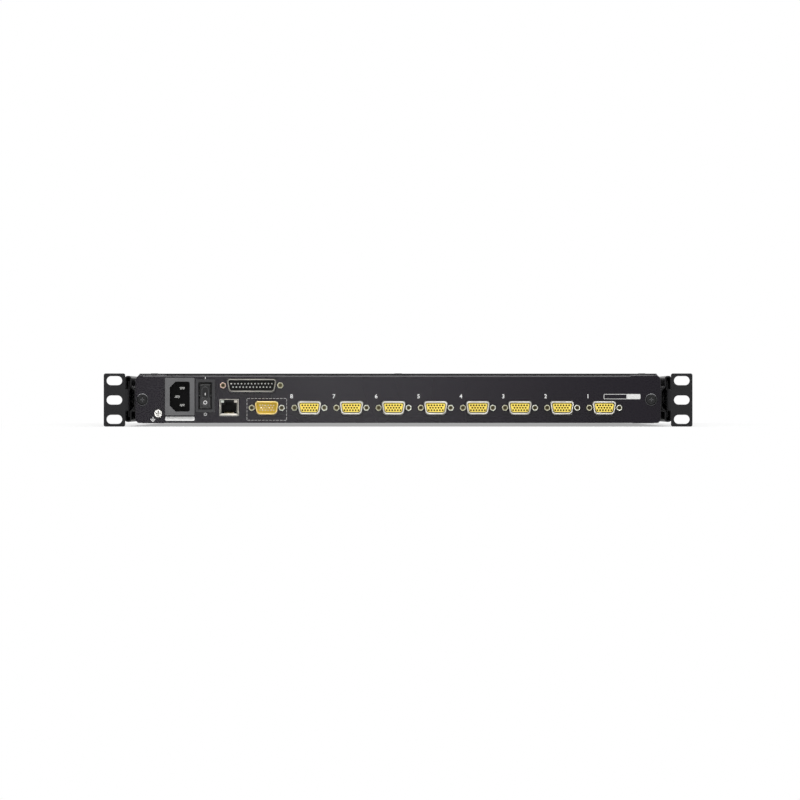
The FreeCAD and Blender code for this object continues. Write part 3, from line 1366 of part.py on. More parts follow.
def port_shell(centre, size, wall, screw_span):
    """A D-shaped metal shell that stands out of the panel, on a flange behind it."""
    outer = shell_outside(centre, size)
    inner = shell_inside(centre, size, wall)
    start = PANEL_INSIDE - FLANGE_THICKNESS
    tube = slab(outer, in_xz(start), V(0, CASE_REAR + SHELL_PROUD - start, 0))
    plate = rectangle(*centre, screw_span + 2 * FLANGE_MARGIN, size[1] + 2.0)
    flange = slab(plate, in_xz(start), V(0, FLANGE_THICKNESS, 0))
    bore = slab(inner, in_xz(start - 1), V(0, CASE_REAR + SHELL_PROUD + 2 - start, 0))
    return fused([tube, flange]).cut(bore)


def housing(centre, width, top, bottom):
    """The moulded block of a connector behind its flange, down to the board."""
    u, _ = centre
    rear = PANEL_INSIDE - FLANGE_THICKNESS
    return block(u - width / 2, u + width / 2, rear - HOUSING_DEPTH, rear, bottom, top)


def chain_port_insert():
    """The moulded inside of the wide port: a floor for its pins and the block behind the flange."""
    start = PANEL_INSIDE - FLANGE_THICKNESS
    outline = shell_inside(CHAIN_AT, CHAIN_SHELL, SHELL_WALL + INSERT_CLEARANCE)
    floor = slab(outline, in_xz(start), V(0, FLANGE_THICKNESS + PIN_FLOOR, 0))
    top = CASE_TOP - 1.6
    return fused([floor, housing(CHAIN_AT, CHAIN_SHELL[0], top, CHAIN_AT[1] - CHAIN_SHELL[1] / 2)])


def console_port_insert():
    """The moulded inside of the second console's port: a floor for its pins and the block behind."""
    start = PANEL_INSIDE - FLANGE_THICKNESS
    outline = shell_inside(CONSOLE_AT, PORT_SHELL, SHELL_WALL + INSERT_CLEARANCE)
    floor = slab(outline, in_xz(start), V(0, FLANGE_THICKNESS + PIN_FLOOR, 0))
    top = CONSOLE_AT[1] + PORT_SHELL[1] / 2
    return fused([floor, housing(CONSOLE_AT, PORT_SHELL[0], top, BOARD_TOP)])


def pin_places(centre, counts, pitch, row_pitch):
    """The contacts of a D-shaped port, row by row from the top."""
    u, v = centre
    places = []
    for row, count in enumerate(counts):
        z = v + ((len(counts) - 1) / 2 - row) * row_pitch
        places += [(u + (i - (count - 1) / 2) * pitch, z) for i in range(count)]
    return places


def port_insert_size():
    """Width and height of a computer port's moulded insert."""
    shrink = 2 * (PORT_SHELL_WALL + PORT_GROOVE)
    return PORT_SHELL[0] - shrink, PORT_SHELL[1] - shrink


def computer_port_insert(centre):
    """The moulded insert of one computer port, with its face plate and the block behind."""
    width, height = port_insert_size()
    start = PANEL_INSIDE - FLANGE_THICKNESS
    front = CASE_REAR + SHELL_PROUD - INSERT_SUNK
    outline = bevelled(d_outline(*centre, width, height, 0), INSERT_BEVEL)
    body = slab(outline, in_xz(start), V(0, front - start, 0))
    rear = housing(centre, PORT_SHELL[0], centre[1] + PORT_SHELL[1] / 2, BOARD_TOP)
    return fused([body, rear])


def contact_pins():
    """The pins of the two ports that have pins."""
    start = PANEL_INSIDE
    tip = CASE_REAR + SHELL_PROUD - PIN_SUNK
    places = pin_places(CHAIN_AT, CHAIN_PIN_COUNTS, CHAIN_PIN_PITCH, CHAIN_ROW_PITCH)
    places += pin_places(CONSOLE_AT, PORT_PIN_COUNTS, PORT_PIN_PITCH, PORT_ROW_PITCH)
    floor = start + PIN_FLOOR
    return [slab(polygon(u, v, 2 * PIN_RADIUS, 6), in_xz(floor), V(0, tip - floor, 0)) for u, v in places]


def port_jackscrews():
    """The hexagonal posts beside the ports."""
    posts = [
        slab(polygon(u, v, JACKSCREW_FLATS, 6), in_xz(CASE_REAR), V(0, JACKSCREW_LENGTH, 0))
        for u, v in jackscrew_places()
    ]
    return Part.makeCompound(posts)


def ground_screw():
    """The bright earthing screw on the rear panel."""
    u, v = GROUND_SCREW_AT
    return screw_head(V(u, CASE_REAR, v), V(0, 1, 0), GROUND_SCREW_RADIUS, GROUND_SCREW_HEIGHT)


def case_screws():
    """The black screws of the fixed case: rear panel, cover, side rails and front ears."""
    heads = []
    for side, inset in zip((-1, 1), PANEL_SCREWS_IN):
        heads.append(
            screw_head(
                V(side * (CASE_HALF - inset), CASE_REAR, PANEL_SCREW_Z),
                V(0, 1, 0),
                PANEL_SCREW_RADIUS,
                PANEL_SCREW_HEIGHT,
            )
        )
        for y in (RAIL_FRONT + 30.0, (RAIL_FRONT + RAIL_REAR) / 2, RAIL_REAR - 20.0):
            at = V(side * (CASE_HALF + RAIL_SHEET), y, CASE_MIDDLE)
            heads.append(small_head(at, V(side, 0, 0)))
        for y in (12.0, 30.0):
            at = V(side * (CASE_HALF + EAR_THICKNESS), y, CASE_MIDDLE)
            heads.append(small_head(at, V(side, 0, 0)))
    for x in (-CASE_HALF + 14.0, 0.0, CASE_HALF - 14.0):
        for y in (BULKHEAD_Y + BULKHEAD_FLANGE / 2 + 1.0, CASE_REAR - COVER_SCREW_IN):
            heads.append(small_head(V(x, y, COVER_TOP), V(0, 0, 1)))
    return Part.makeCompound(heads)


def on_board(x, y, width, length, height, base=0.0):
    """A plain component that stands on a board, about x, y."""
    low = BOARD_TOP + base
    return block(x - width / 2, x + width / 2, y - length / 2, y + length / 2, low, low + height)


def capacitor(x, y, width, height):
    """A round component that stands on a board, with twelve flat sides."""
    return slab(polygon(x, y, width, 12), in_xy(BOARD_TOP), V(0, 0, height))


def switch_board():
    """The main board: an L-shaped plate with chips, a finned heat sink and capacitors."""
    tongue_front = BOARD_REAR - BOARD_TONGUE_LENGTH
    outline = [
        (BOARD_LEFT, BOARD_FRONT, 0.0),
        (BOARD_RIGHT, BOARD_FRONT, 0.0),
        (BOARD_RIGHT, tongue_front, 0.0),
        (BOARD_TONGUE_RIGHT, tongue_front, 0.0),
        (BOARD_TONGUE_RIGHT, BOARD_REAR, 0.0),
        (BOARD_LEFT, BOARD_REAR, 0.0),
    ]
    parts = [slab(outline, in_xy(BOARD_BOTTOM), V(0, 0, BOARD_THICKNESS))]
    middle = (BOARD_FRONT + BOARD_REAR) / 2
    for x, size in CHIPS:
        parts.append(on_board(BOARD_LEFT + x, middle, size, size, CHIP_HEIGHT))
    sink_x = BOARD_LEFT + SINK_FROM_LEFT
    parts.append(on_board(sink_x, middle, SINK_SIZE, SINK_SIZE, SINK_BASE))
    step = (SINK_SIZE - SINK_FIN) / (SINK_FINS - 1)
    for i in range(SINK_FINS):
        x = sink_x - SINK_SIZE / 2 + SINK_FIN / 2 + i * step
        parts.append(on_board(x, middle, SINK_FIN, SINK_SIZE, SINK_HEIGHT - SINK_BASE, SINK_BASE))
    parts += [capacitor(BOARD_RIGHT - x, BOARD_FRONT + 20, 8.0, 12.0) for x in (20.0, 34.0)]
    return fused(parts)


def power_supply():
    """The open power supply: a board with a transformer, two heat sinks and capacitors."""
    middle_x, middle_y = (SUPPLY_LEFT + SUPPLY_RIGHT) / 2, (SUPPLY_FRONT + SUPPLY_REAR) / 2
    parts = [
        block(SUPPLY_LEFT, SUPPLY_RIGHT, SUPPLY_FRONT, SUPPLY_REAR, BOARD_BOTTOM, BOARD_TOP),
        on_board(middle_x, middle_y - 4, 30.0, 32.0, 22.0),
        on_board(SUPPLY_LEFT + 7, middle_y - 5, 2.0, 70.0, 20.0),
        on_board(SUPPLY_RIGHT - 9, middle_y - 5, 2.0, 50.0, 20.0),
        capacitor(middle_x, SUPPLY_REAR - 22, 18.0, 24.0),
    ]
    parts += [capacitor(SUPPLY_LEFT + x, SUPPLY_FRONT + 16, 10.0, 16.0) for x in (22.0, 40.0, 58.0)]
    return fused(parts)


def contacts():
    """All the bare metal contacts in the rear connectors."""
    return Part.makeCompound(blade_boxes() + jack_contacts() + contact_pins())


def build_nodes():
    """Every piece by its node name."""
    nodes = {
        "base_pan": base_pan(),
        "rear_panel": rear_panel(),
        "top_cover": top_cover(),
        "bulkhead": bulkhead(),
        "power_inlet": power_inlet(),
        "power_switch_frame": power_switch_frame(),
        "power_rocker": power_rocker(),
        "network_jack_shell": network_jack_shell(),
        "network_jack_insert": network_jack_insert(),
        "pin_port_shells": Part.makeCompound(
            [
                port_shell(CHAIN_AT, CHAIN_SHELL, SHELL_WALL, CHAIN_SCREW_SPAN),
                port_shell(CONSOLE_AT, PORT_SHELL, SHELL_WALL, PORT_SCREW_SPAN),
            ]
        ),
        "chain_port_insert": chain_port_insert(),
        "console_port_insert": console_port_insert(),
        "computer_port_shells": Part.makeCompound(
            [port_shell(centre, PORT_SHELL, PORT_SHELL_WALL, PORT_SCREW_SPAN) for centre in port_centres()]
        ),
        "computer_port_inserts": Part.makeCompound([computer_port_insert(c) for c in port_centres()]),
        "connector_contacts": contacts(),
        "port_jackscrews": port_jackscrews(),
        "ground_screw": ground_screw(),
        "case_screws": case_screws(),
        "switch_board": switch_board(),
        "power_supply": power_supply(),
        "drawer_tray": drawer_tray(),
        "keyboard_deck": keyboard_deck(),
        "keyboard_base": keyboard_base(),
        "front_handle": front_handle(),
        "touchpad": touchpad(),
        "touchpad_button_left": touchpad_button(-1),
        "touchpad_button_right": touchpad_button(1),
        "lid_cover": lid_cover(),
        "lid_bezel": lid_bezel(),
        "lcd_panel": lcd_panel(),
        "button_board": button_board(),
    }
    for index, row in enumerate(KEY_ROWS):
        nodes[row[0]] = key_row(index)
    for name, x in button_centres().items():
        nodes[name] = screen_button(x)
    pairs = {
        "mounting_rail": mounting_rail(),
        "front_ear": front_ear(),
        "rear_bracket": rear_bracket(),
        "slide_outer": slide_outer(),
        "slide_middle": slide_middle(),
        "slide_inner": slide_inner(),
        "hinge_bracket": hinge_bracket(),
        "hinge_arm": hinge_arm(),
        "release_catch": release_catch(),
    }
    for name, right in pairs.items():
        nodes[name + "_right"] = right
        nodes[name + "_left"] = mirrored(right)
    return nodes


def main():
    """Builds every piece and writes it to its own STEP file."""
    os.makedirs("parts", exist_ok=True)
    nodes = build_nodes()
    for name, shape in nodes.items():
        if not shape.isValid() or shape.Volume <= 0:
            raise RuntimeError(f"{name} is not a valid solid")
        shape.exportStep(os.path.join("parts", name + ".step"))
    print(len(nodes), "nodes")
    return nodes


main()
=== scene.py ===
"""Dresses the rack console drawer: finishes, printed marks, port details, keyboard, screen and stage."""

import json
import math
from functools import cached_property

import bmesh
import bpy
from mathutils import Matrix, Vector


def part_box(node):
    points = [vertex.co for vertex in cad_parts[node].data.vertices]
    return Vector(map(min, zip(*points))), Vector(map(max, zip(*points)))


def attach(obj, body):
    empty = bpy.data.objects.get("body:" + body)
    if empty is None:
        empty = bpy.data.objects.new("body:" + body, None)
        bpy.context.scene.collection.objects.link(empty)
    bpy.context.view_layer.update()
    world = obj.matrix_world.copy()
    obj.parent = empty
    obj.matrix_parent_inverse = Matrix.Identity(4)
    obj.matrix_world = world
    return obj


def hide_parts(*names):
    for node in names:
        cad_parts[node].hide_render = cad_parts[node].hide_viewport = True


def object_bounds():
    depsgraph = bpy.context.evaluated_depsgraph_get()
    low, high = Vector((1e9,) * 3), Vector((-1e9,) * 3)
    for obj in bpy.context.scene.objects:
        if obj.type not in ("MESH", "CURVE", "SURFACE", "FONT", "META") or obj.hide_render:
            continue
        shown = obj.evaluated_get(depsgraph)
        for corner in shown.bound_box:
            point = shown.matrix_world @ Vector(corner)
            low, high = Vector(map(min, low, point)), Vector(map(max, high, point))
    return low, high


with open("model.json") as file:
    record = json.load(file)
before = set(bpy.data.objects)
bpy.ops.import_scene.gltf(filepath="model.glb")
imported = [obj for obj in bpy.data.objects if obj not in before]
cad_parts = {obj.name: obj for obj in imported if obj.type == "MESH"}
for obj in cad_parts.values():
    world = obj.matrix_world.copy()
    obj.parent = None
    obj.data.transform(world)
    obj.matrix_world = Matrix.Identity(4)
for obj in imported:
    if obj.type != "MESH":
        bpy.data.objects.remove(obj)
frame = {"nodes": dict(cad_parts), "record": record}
CAD_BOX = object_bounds()

bl_info = {
    "name": "Rack Console Drawer",
    "version": (1, 0, 0),
    "blender": (4, 5, 0),
    "location": "3D View > Sidebar > Console Drawer",
    "description": "Finishes, marks, port details and stage of a rack console drawer",
    "category": "Object",
}

MM = 0.001
NODES = frame["nodes"]
WHITE = (1.0, 1.0, 1.0, 1.0)
CAP_HEIGHT = 0.7  # of a letter, as a share of the type's size

# Places and spacings on the rear panel
UPPER_ROW = 3 * MM
PANEL_SCREWS = ((-208.0 * MM, 0.3 * MM), (210.2 * MM, 0.3 * MM))
PORT_COUNT = 8
PORT_FLANGE_HALF = 15.5 * MM
PORT_POST_OFFSET = 12.3 * MM
CHAIN_POST_OFFSET = 23.52 * MM
CONTACT_PITCH = 2.29 * MM
CONTACT_ROWS = ((6, 1.98 * MM), (5, 0.0), (6, -1.98 * MM))

# Spacings of the keys
KEY_PITCH = 18.3 * MM
KEY_BLOCK_GAP = 5.5 * MM

# A flat drawing's X, Y and thickness, turned to face the rear or the underside
FACING_REAR = Matrix(((-1, 0, 0, 0), (0, 0, 1, 0), (0, 1, 0, 0), (0, 0, 0, 1)))
FACING_DOWN = Matrix(((1, 0, 0, 0), (0, -1, 0, 0), (0, 0, -1, 0), (0, 0, 0, 1)))

# What the keys of each row say, from the rear, with a key's width where it isn't 1
KEY_ROWS = {
    "function": "Esc F1 F2 F3 F4 F5 F6 F7 F8 F9 F10 F11 F12 Ins Del | Home End PgUp PgDn",
    "number": "` 1 2 3 4 5 6 7 8 9 0 - = Back:2 | Num / * -",
    "upper": "Tab:1.5 Q W E R T Y U I O P [ ] \\:1.5 | 7 8 9 +",
    "home": "Caps:1.75 A S D F G H J K L ; ' Enter:2.25 | 4 5 6 =",
    "lower": "Shift:2.25 Z X C V B N M , . / Shift:1.75 ↑ | 1 2 3 Ent",
    "space": "Ctrl:1.25 Fn:1.25 Alt:1.25 _:5.5 Alt:1.25 Ctrl:1.5 ← ↓ → | 0:2 . Ent",
}


def middle(node):
    """The centre of a node's box."""
    low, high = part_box(node)
    return (Vector(low) + Vector(high)) / 2


def joint_place(name):
    """The point that a joint turns about."""
    joints = frame["record"]["behaviour"]["joints"]
    return next(Vector(joint["pos_m"]) for joint in joints if joint["name"] == name)


# Shader values and node trees


def maths(operation, swapped=False):
    """An operator between two values, as a maths node."""
    return lambda value, other: value.math(operation, other, swapped)


class Value:
    """A socket's output, wrapped so that shader maths reads as plain expressions."""

    def __init__(self, graph, socket):
        self.graph = graph
        self.socket = socket

    def math(self, operation, other=None, swapped=False):
        values = [self] if other is None else [self, other]
        if swapped:
            values.reverse()
        return self.graph.node("ShaderNodeMath", {"operation": operation}, values)

    __add__ = __radd__ = maths("ADD")
    __sub__ = maths("SUBTRACT")
    __rsub__ = maths("SUBTRACT", swapped=True)
    __mul__ = __rmul__ = maths("MULTIPLY")
    __truediv__ = maths("DIVIDE")
    __rtruediv__ = maths("DIVIDE", swapped=True)
    __pow__ = maths("POWER")
    __rpow__ = maths("POWER", swapped=True)
    __gt__ = maths("GREATER_THAN")
    __lt__ = maths("LESS_THAN")

    def __abs__(self):
        return self.math("ABSOLUTE")

    def fraction(self):
        return self.math("FRACT")

    def rising(self, low, high):
        """Goes smoothly from 0 to 1 as the value goes from low to high."""
        inputs = {"Value": self, "From Min": low, "From Max": high}
        return self.graph.node("ShaderNodeMapRange", {"interpolation_type": "SMOOTHSTEP"}, inputs)


class Graph:
    """The node tree of a material or a world; radii, reaches and depths are in millimetres."""

    def __init__(self, name, kind="materials"):
        self.owner = getattr(bpy.data, kind).new(name)
        self.owner.use_nodes = True
        self.tree = self.owner.node_tree
        self.tree.nodes.clear()

    def node(self, kind, settings=None, inputs=(), output=0):
        """Adds a node, makes its settings, feeds its sockets and returns one of its outputs."""
        made = self.tree.nodes.new(kind)
        for key, value in (settings or {}).items():
            setattr(made, key, value)
        entries = inputs.items() if isinstance(inputs, dict) else enumerate(inputs)
        for key, value in entries:
            if isinstance(value, Value):
                self.tree.links.new(value.socket, made.inputs[key])
            else:
                made.inputs[key].default_value = value
        return Value(self, made.outputs[output]) if made.outputs else None

    @cached_property
    def place(self):
        return self.node("ShaderNodeTexCoord", output="Object")

    def part(self, axis, vector=None):
        """One part of a vector, which is the place unless another is given."""
        return self.node("ShaderNodeSeparateXYZ", inputs=[vector or self.place], output=axis)

    def noise(self, scale, detail=2.0, vector=None):
        inputs = {"Vector": vector or self.place, "Scale": scale, "Detail": detail}
        return self.node("ShaderNodeTexNoise", inputs=inputs)

    def streaks(self, factors, detail=2.0):
        """Noise whose scale differs from axis to axis."""
        stretch = {"operation": "MULTIPLY"}
        stretched = self.node("ShaderNodeVectorMath", stretch, [self.place, factors])
        return self.noise(1.0, detail, stretched)

    def blend(self, factor, first, second):
        """A colour between two colours."""
        inputs = {0: factor, 6: rgba(first), 7: rgba(second)}
        return self.node("ShaderNodeMix", {"data_type": "RGBA"}, inputs, output=2)

    def shades(self, factor, colour, first, second):
        """A colour between two brightnesses of one colour."""
        return self.blend(factor, lighter(colour, first), lighter(colour, second))

    def soft_edges(self, radius):
        """The normal as if each edge had a small radius."""
        return self.node("ShaderNodeBevel", {"samples": 4}, {"Radius": radius * MM}, "Normal")

    def worn_edges(self, radius):
        """The softened normal, and a mask that is 1 along sharp edges and 0 on flat ground."""
        soft = self.soft_edges(radius)
        flat = self.node("ShaderNodeNewGeometry", output="Normal")
        facing = self.node("ShaderNodeVectorMath", {"operation": "DOT_PRODUCT"}, [soft, flat], "Value")
        return soft, facing.rising(0.995, 0.8)

    def openness(self, reach):
        """1 in the open and towards 0 in corners and recesses."""
        return self.node("ShaderNodeAmbientOcclusion", {"samples": 4}, {"Distance": reach * MM}, "AO")

    def bump(self, height, depth, normal=None, strength=1.0):
        inputs = {"Height": height, "Distance": depth * MM, "Strength": strength}
        if normal is not None:
            inputs["Normal"] = normal
        return self.node("ShaderNodeBump", inputs=inputs)

    def shader(self, **inputs):
        """A surface whose sockets are given by name."""
        named = {key.replace("_", " "): value for key, value in inputs.items()}
        return self.node("ShaderNodeBsdfPrincipled", inputs=named)

    def surface(self, **inputs):
        """Closes the tree with a surface."""
        self.node("ShaderNodeOutputMaterial", inputs={"Surface": self.shader(**inputs)})
        return self.owner


def rgba(colour):
    """A colour with its alpha, or a socket as it is."""
    return colour if isinstance(colour, Value) else (*colour[:3], 1.0)


def lighter(colour, factor):
    """A colour scaled in brightness."""
    return tuple(min(1.0, channel * factor) for channel in colour[:3])


# Finishes


def powder_paint(name, colour, roughness=0.34, wear_and_highlight=0.35, edge=0.45, highlit_and_bare_grey=0.16):
    """Baked powder paint on folded sheet: fine orange peel, faint patches, and edges lightened partly as
    worn paint and partly as a painted highlight that is strongest on edges facing up.
    """
    graph = Graph(name)
    patches = graph.noise(7.0, 3.0)
    peel = graph.noise(1500.0)
    specks = graph.noise(6000.0, 1.0)
    soft, edges = graph.worn_edges(edge)
    # Painted highlight: edges that face up are lightened more, as if lit from above; the rest of the
    # edge lightening is worn paint.
    lit_from_above = graph.part("Z", soft).rising(0.0, 0.6) * 0.75 + 0.25
    rubbed_and_highlit = edges * lit_from_above * (graph.noise(180.0, 3.0).rising(0.3, 0.6) * 0.6 + 0.4) * wear_and_highlight
    ground = graph.shades(patches.rising(0.3, 0.75), colour, 0.9, 1.12)
    ground = graph.blend(specks.rising(0.62, 0.8) * 0.35, ground, lighter(colour, 2.2))
    return graph.surface(
        Base_Color=graph.blend(rubbed_and_highlit, ground, (highlit_and_bare_grey, highlit_and_bare_grey, highlit_and_bare_grey)),
        Roughness=roughness - 0.015 + patches * 0.05 + peel * 0.01,
        Normal=graph.bump(peel + specks * 0.35, 0.012, soft, 0.2),
        Specular_IOR_Level=0.16,
    )


def moulded(name, colour, roughness=0.5, grain=2200.0, depth=0.04, shine=0.3, edge=1.6, reach=0.0):
    """Moulded plastic: a spark-eroded grain, slight sink marks, softened edges lightened as a painted
    highlight, and recesses darkened as painted shade where a reach is given.
    """
    graph = Graph(name)
    sink = graph.noise(28.0)
    pits = graph.noise(grain)
    soft, edges = graph.worn_edges(0.3)
    ground = graph.shades(sink.rising(0.3, 0.7), colour, 0.93, 1.08)
    # Painted highlight: the edges are lightened by the edge factor.
    ground = graph.blend(edges * 0.4, ground, lighter(colour, edge))
    if reach:
        # Painted shade: darker in corners and recesses.
        open_air = graph.openness(reach).rising(0.25, 0.85)
        ground = graph.blend(open_air, lighter(colour, 0.08), ground)
    return graph.surface(
        Base_Color=ground,
        Roughness=roughness - 0.03 + pits * 0.1 - edges * 0.08,
        Normal=graph.bump(pits, depth, soft, 0.5),
        Specular_IOR_Level=shine,
    )


def plated(name, colour, roughness, tint=None, reach=1.2, lower=None):
    """Plated metal: clouded plating, hairline marks, edges lightened as a painted highlight and corners
    darkened as painted shade.

    Where a lower colour is given, it takes over below the rear panel's upper row of ports.
    """
    graph = Graph(name)
    clouds = graph.noise(120.0, 3.0)
    hairs = graph.streaks((300.0, 60.0, 6000.0))
    soft, edges = graph.worn_edges(0.18)
    # Painted shade: darker in corners and recesses.
    open_air = graph.openness(reach).rising(0.25, 0.95)
    ground = graph.blend(clouds.rising(0.3, 0.7), colour, tint or lighter(colour, 0.82))
    if lower:
        ground = graph.blend(graph.part("Z") < UPPER_ROW, ground, lower)
    # Painted highlight along the edges.
    ground = graph.blend(edges * 0.4, ground, lighter(colour, 1.2))
    return graph.surface(
        Base_Color=graph.blend(open_air, lighter(colour, 0.22), ground),
        Metallic=1.0,
        Roughness=roughness + clouds * 0.12 + hairs * 0.08,
        Normal=graph.bump(hairs, 0.012, soft, 0.5),
    )


def drawn_steel(name, colour):
    """Zinc-plated steel strip, drawn lengthwise, with a film of grease along the raceways."""
    graph = Graph(name)
    lines = graph.streaks((9000.0, 14.0, 9000.0))
    spangle = graph.noise(90.0, 4.0)
    grease = graph.streaks((60.0, 6.0, 60.0), 3.0).rising(0.5, 0.75)
    ground = graph.shades(spangle.rising(0.25, 0.75), colour, 0.8, 1.1)
    soft = graph.soft_edges(0.25)
    return graph.surface(
        Base_Color=graph.blend(grease * 0.4, ground, (0.30, 0.27, 0.20)),
        Metallic=1.0,
        Roughness=0.3 + spangle * 0.15 + lines * 0.1 - grease * 0.12,
        Normal=graph.bump(lines, 0.02, soft, 0.5),
    )


def printed_ink(name, colour):
    """Screen-printed ink: dense, matt, and slightly broken by the paint's grain."""
    graph = Graph(name)
    broken = graph.noise(2600.0).rising(0.6, 0.78)
    return graph.surface(
        Base_Color=graph.shades(broken * 0.22, colour, 1.0, 0.35),
        Roughness=0.55 + broken * 0.15,
        Normal=graph.bump(broken, 0.01),
    )


def contact_finish(name, gold, tin, steel):
    """Contacts: gilt in the lower ports, tinned in the wide port and steel in the inlet."""
    graph = Graph(name)
    inlet_side = 150 * MM
    worn = graph.noise(700.0)
    metal = graph.blend(graph.part("Z") < UPPER_ROW, tin, gold)
    metal = graph.blend(graph.part("X") < inlet_side, steel, metal)
    metal = graph.blend(worn.rising(0.4, 0.8) * 0.3, metal, lighter(steel, 0.6))
    shade = graph.openness(1.5).rising(0.1, 0.8)
    return graph.surface(
        Base_Color=graph.blend(shade, lighter(steel, 0.3), metal),
        Metallic=1.0,
        Roughness=0.22 + worn * 0.12,
        Normal=graph.bump(worn, 0.01, graph.soft_edges(0.1), 0.4),
    )


def lit_lens(name, colour):
    """A small lamp's lens: clear tinted plastic with a brighter core."""
    graph = Graph(name)
    core = graph.noise(900.0, 1.0)
    return graph.surface(
        Base_Color=graph.shades(core, colour, 0.75, 1.0),
        Roughness=0.16 + core * 0.08,
        Coat_Weight=0.6,
    )


def inlet_finish(name, bezel, recess):
    """The mains inlet's moulding: a grey front frame with edges lightened as a painted highlight, and an
    inside darkened to black as painted shade in the recess.
    """
    graph = Graph(name)
    low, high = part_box("power_inlet")
    frame_depth, frame_width = 0.25 * MM, 3.2 * MM
    across = abs(graph.part("X") - middle("power_inlet").x)
    behind = graph.part("Y") < high.y - frame_depth
    # Painted shade: the recess behind the front frame.
    inside = behind * (across < (high.x - low.x) / 2 - frame_width)
    pits = graph.noise(2400.0)
    sink = graph.noise(60.0)
    soft, edges = graph.worn_edges(0.3)
    ground = graph.shades(sink.rising(0.3, 0.7), bezel, 0.92, 1.06)
    # Painted highlight along the edges.
    ground = graph.blend(edges * 0.35, ground, lighter(bezel, 1.7))
    return graph.surface(
        Base_Color=graph.blend(inside, ground, recess),
        Roughness=0.42 + pits * 0.1,
        Normal=graph.bump(pits, 0.03, soft, 0.4),
        Specular_IOR_Level=0.15,
    )


def glass_finish(name, colour):
    """An anti-glare screen: near black with the cell grid just visible and a fine sparkle."""
    graph = Graph(name)
    cell, gap = 0.264 * MM, 0.14
    across, along = [(graph.part(axis) / cell).fraction() < gap for axis in ("X", "Y")]
    sparkle = graph.noise(9000.0, 1.0)
    smears = graph.streaks((6.0, 16.0, 6.0), 4.0).rising(0.45, 0.8)
    return graph.surface(
        Base_Color=graph.shades((across + along) * 0.4, colour, 1.0, 0.5),
        Roughness=0.2 + smears * 0.12 + sparkle * 0.06,
        Normal=graph.bump(sparkle, 0.006, None, 0.5),
    )


def board_finish(name, lacquer, parts, node):
    """A circuit board: green lacquer over copper tracks, and dark parts that stand on it."""
    graph = Graph(name)
    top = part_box(node)[0].z + 1.65 * MM
    standing = graph.part("Z") > top
    lanes = (graph.part("X") / (2.2 * MM) + graph.noise(40.0, 0.0) * 3.0).fraction()
    rows = (graph.part("Y") / (2.8 * MM)).fraction()
    tracks = (lanes < 0.3) + (rows < 0.12)
    grain = graph.noise(1800.0)
    ground = graph.shades(tracks * 0.45, lacquer, 1.0, 2.1)
    component = graph.shades(grain, parts, 0.8, 1.4)
    return graph.surface(
        Base_Color=graph.blend(standing, ground, component),
        Roughness=0.28 + standing * 0.25 + grain * 0.08,
        Normal=graph.bump(tracks * 0.5 + grain * 0.3, 0.03),
    )


def touch_finish(name, colour):
    """The touch surface: smooth satin with a faint fingertip polish in its middle."""
    graph = Graph(name)
    centre = middle("touchpad")
    dx = (graph.part("X") - centre.x) / (30 * MM)
    dy = (graph.part("Y") - centre.y) / (18 * MM)
    polish = (1 - (dx * dx + dy * dy)).rising(0.0, 1.0) * graph.noise(60.0, 3.0)
    pits = graph.noise(5000.0, 1.0)
    return graph.surface(
        Base_Color=graph.shades(pits, colour, 0.92, 1.08),
        Roughness=0.42 - polish * 0.18 + pits * 0.06,
        Normal=graph.bump(pits, 0.01, graph.soft_edges(0.3), 0.5),
    )


def cover(material, *nodes):
    """Gives CAD pieces their finish."""
    for node in nodes:
        shape = NODES[node]
        if not shape.material_slots:
            shape.data.materials.append(material)
        for slot in shape.material_slots:
            slot.material = material


def cover_both(material, *nodes):
    """Gives the left and the right piece of each pair their finish."""
    for node in nodes:
        cover(material, node + "_left", node + "_right")


# Meshes


def mesh_of(data):
    """A plain mesh of a curve or a text, which is then thrown away."""
    maker = bpy.data.objects.new("maker", data)
    mesh = bpy.data.meshes.new_from_object(maker)
    bpy.data.objects.remove(maker)
    bpy.data.curves.remove(data)
    return mesh


def loops(dimensions, outlines):
    """A curve of closed loops with straight sides."""
    curve = bpy.data.curves.new("loops", "CURVE")
    curve.dimensions = dimensions
    for points in outlines:
        spline = curve.splines.new("POLY")
        spline.points.add(len(points) - 1)
        for point, place in zip(spline.points, points):
            point.co = (*Vector(place).to_3d(), 1.0)
        spline.use_cyclic_u = True
    return curve


def plate(outlines, thickness, rounding=0.0):
    """A flat plate about its own origin plane; outlines inside the first are holes."""
    curve = loops("2D", outlines)
    curve.fill_mode = "BOTH"
    curve.extrude = thickness / 2 - rounding
    curve.bevel_depth = rounding
    curve.bevel_resolution = 1
    curve.offset = -rounding
    return mesh_of(curve)


def tube(points, radius):
    """A closed round bead through points."""
    curve = loops("3D", [points])
    curve.bevel_depth = radius
    curve.bevel_resolution = 2
    return mesh_of(curve)


def letters(text, size, thickness, weight=0.0):
    """Raised letters, centred on their own origin."""
    curve = bpy.data.curves.new("letters", "FONT")
    curve.body = text
    curve.size = size
    curve.offset = weight
    curve.extrude = thickness / 2
    curve.align_x = "CENTER"
    curve.align_y = "CENTER"
    curve.resolution_u = 3
    return mesh_of(curve)


def turned(rings, foot=True, crown=True):
    """A skin through rings of points, closed at the first ring and at the last where asked."""
    body = bmesh.new()
    rows = [[body.verts.new(point) for point in ring] for ring in rings]
    count = len(rows[0])
    for lower, upper in zip(rows[:-1], rows[1:]):
        for i in range(count):
            j = (i + 1) % count
            body.faces.new((lower[i], lower[j], upper[j], upper[i]))
    if foot:
        body.faces.new(list(reversed(rows[0])))
    if crown:
        body.faces.new(rows[-1])
    mesh = bpy.data.meshes.new("turned")
    body.to_mesh(mesh)
    body.free()
    return mesh


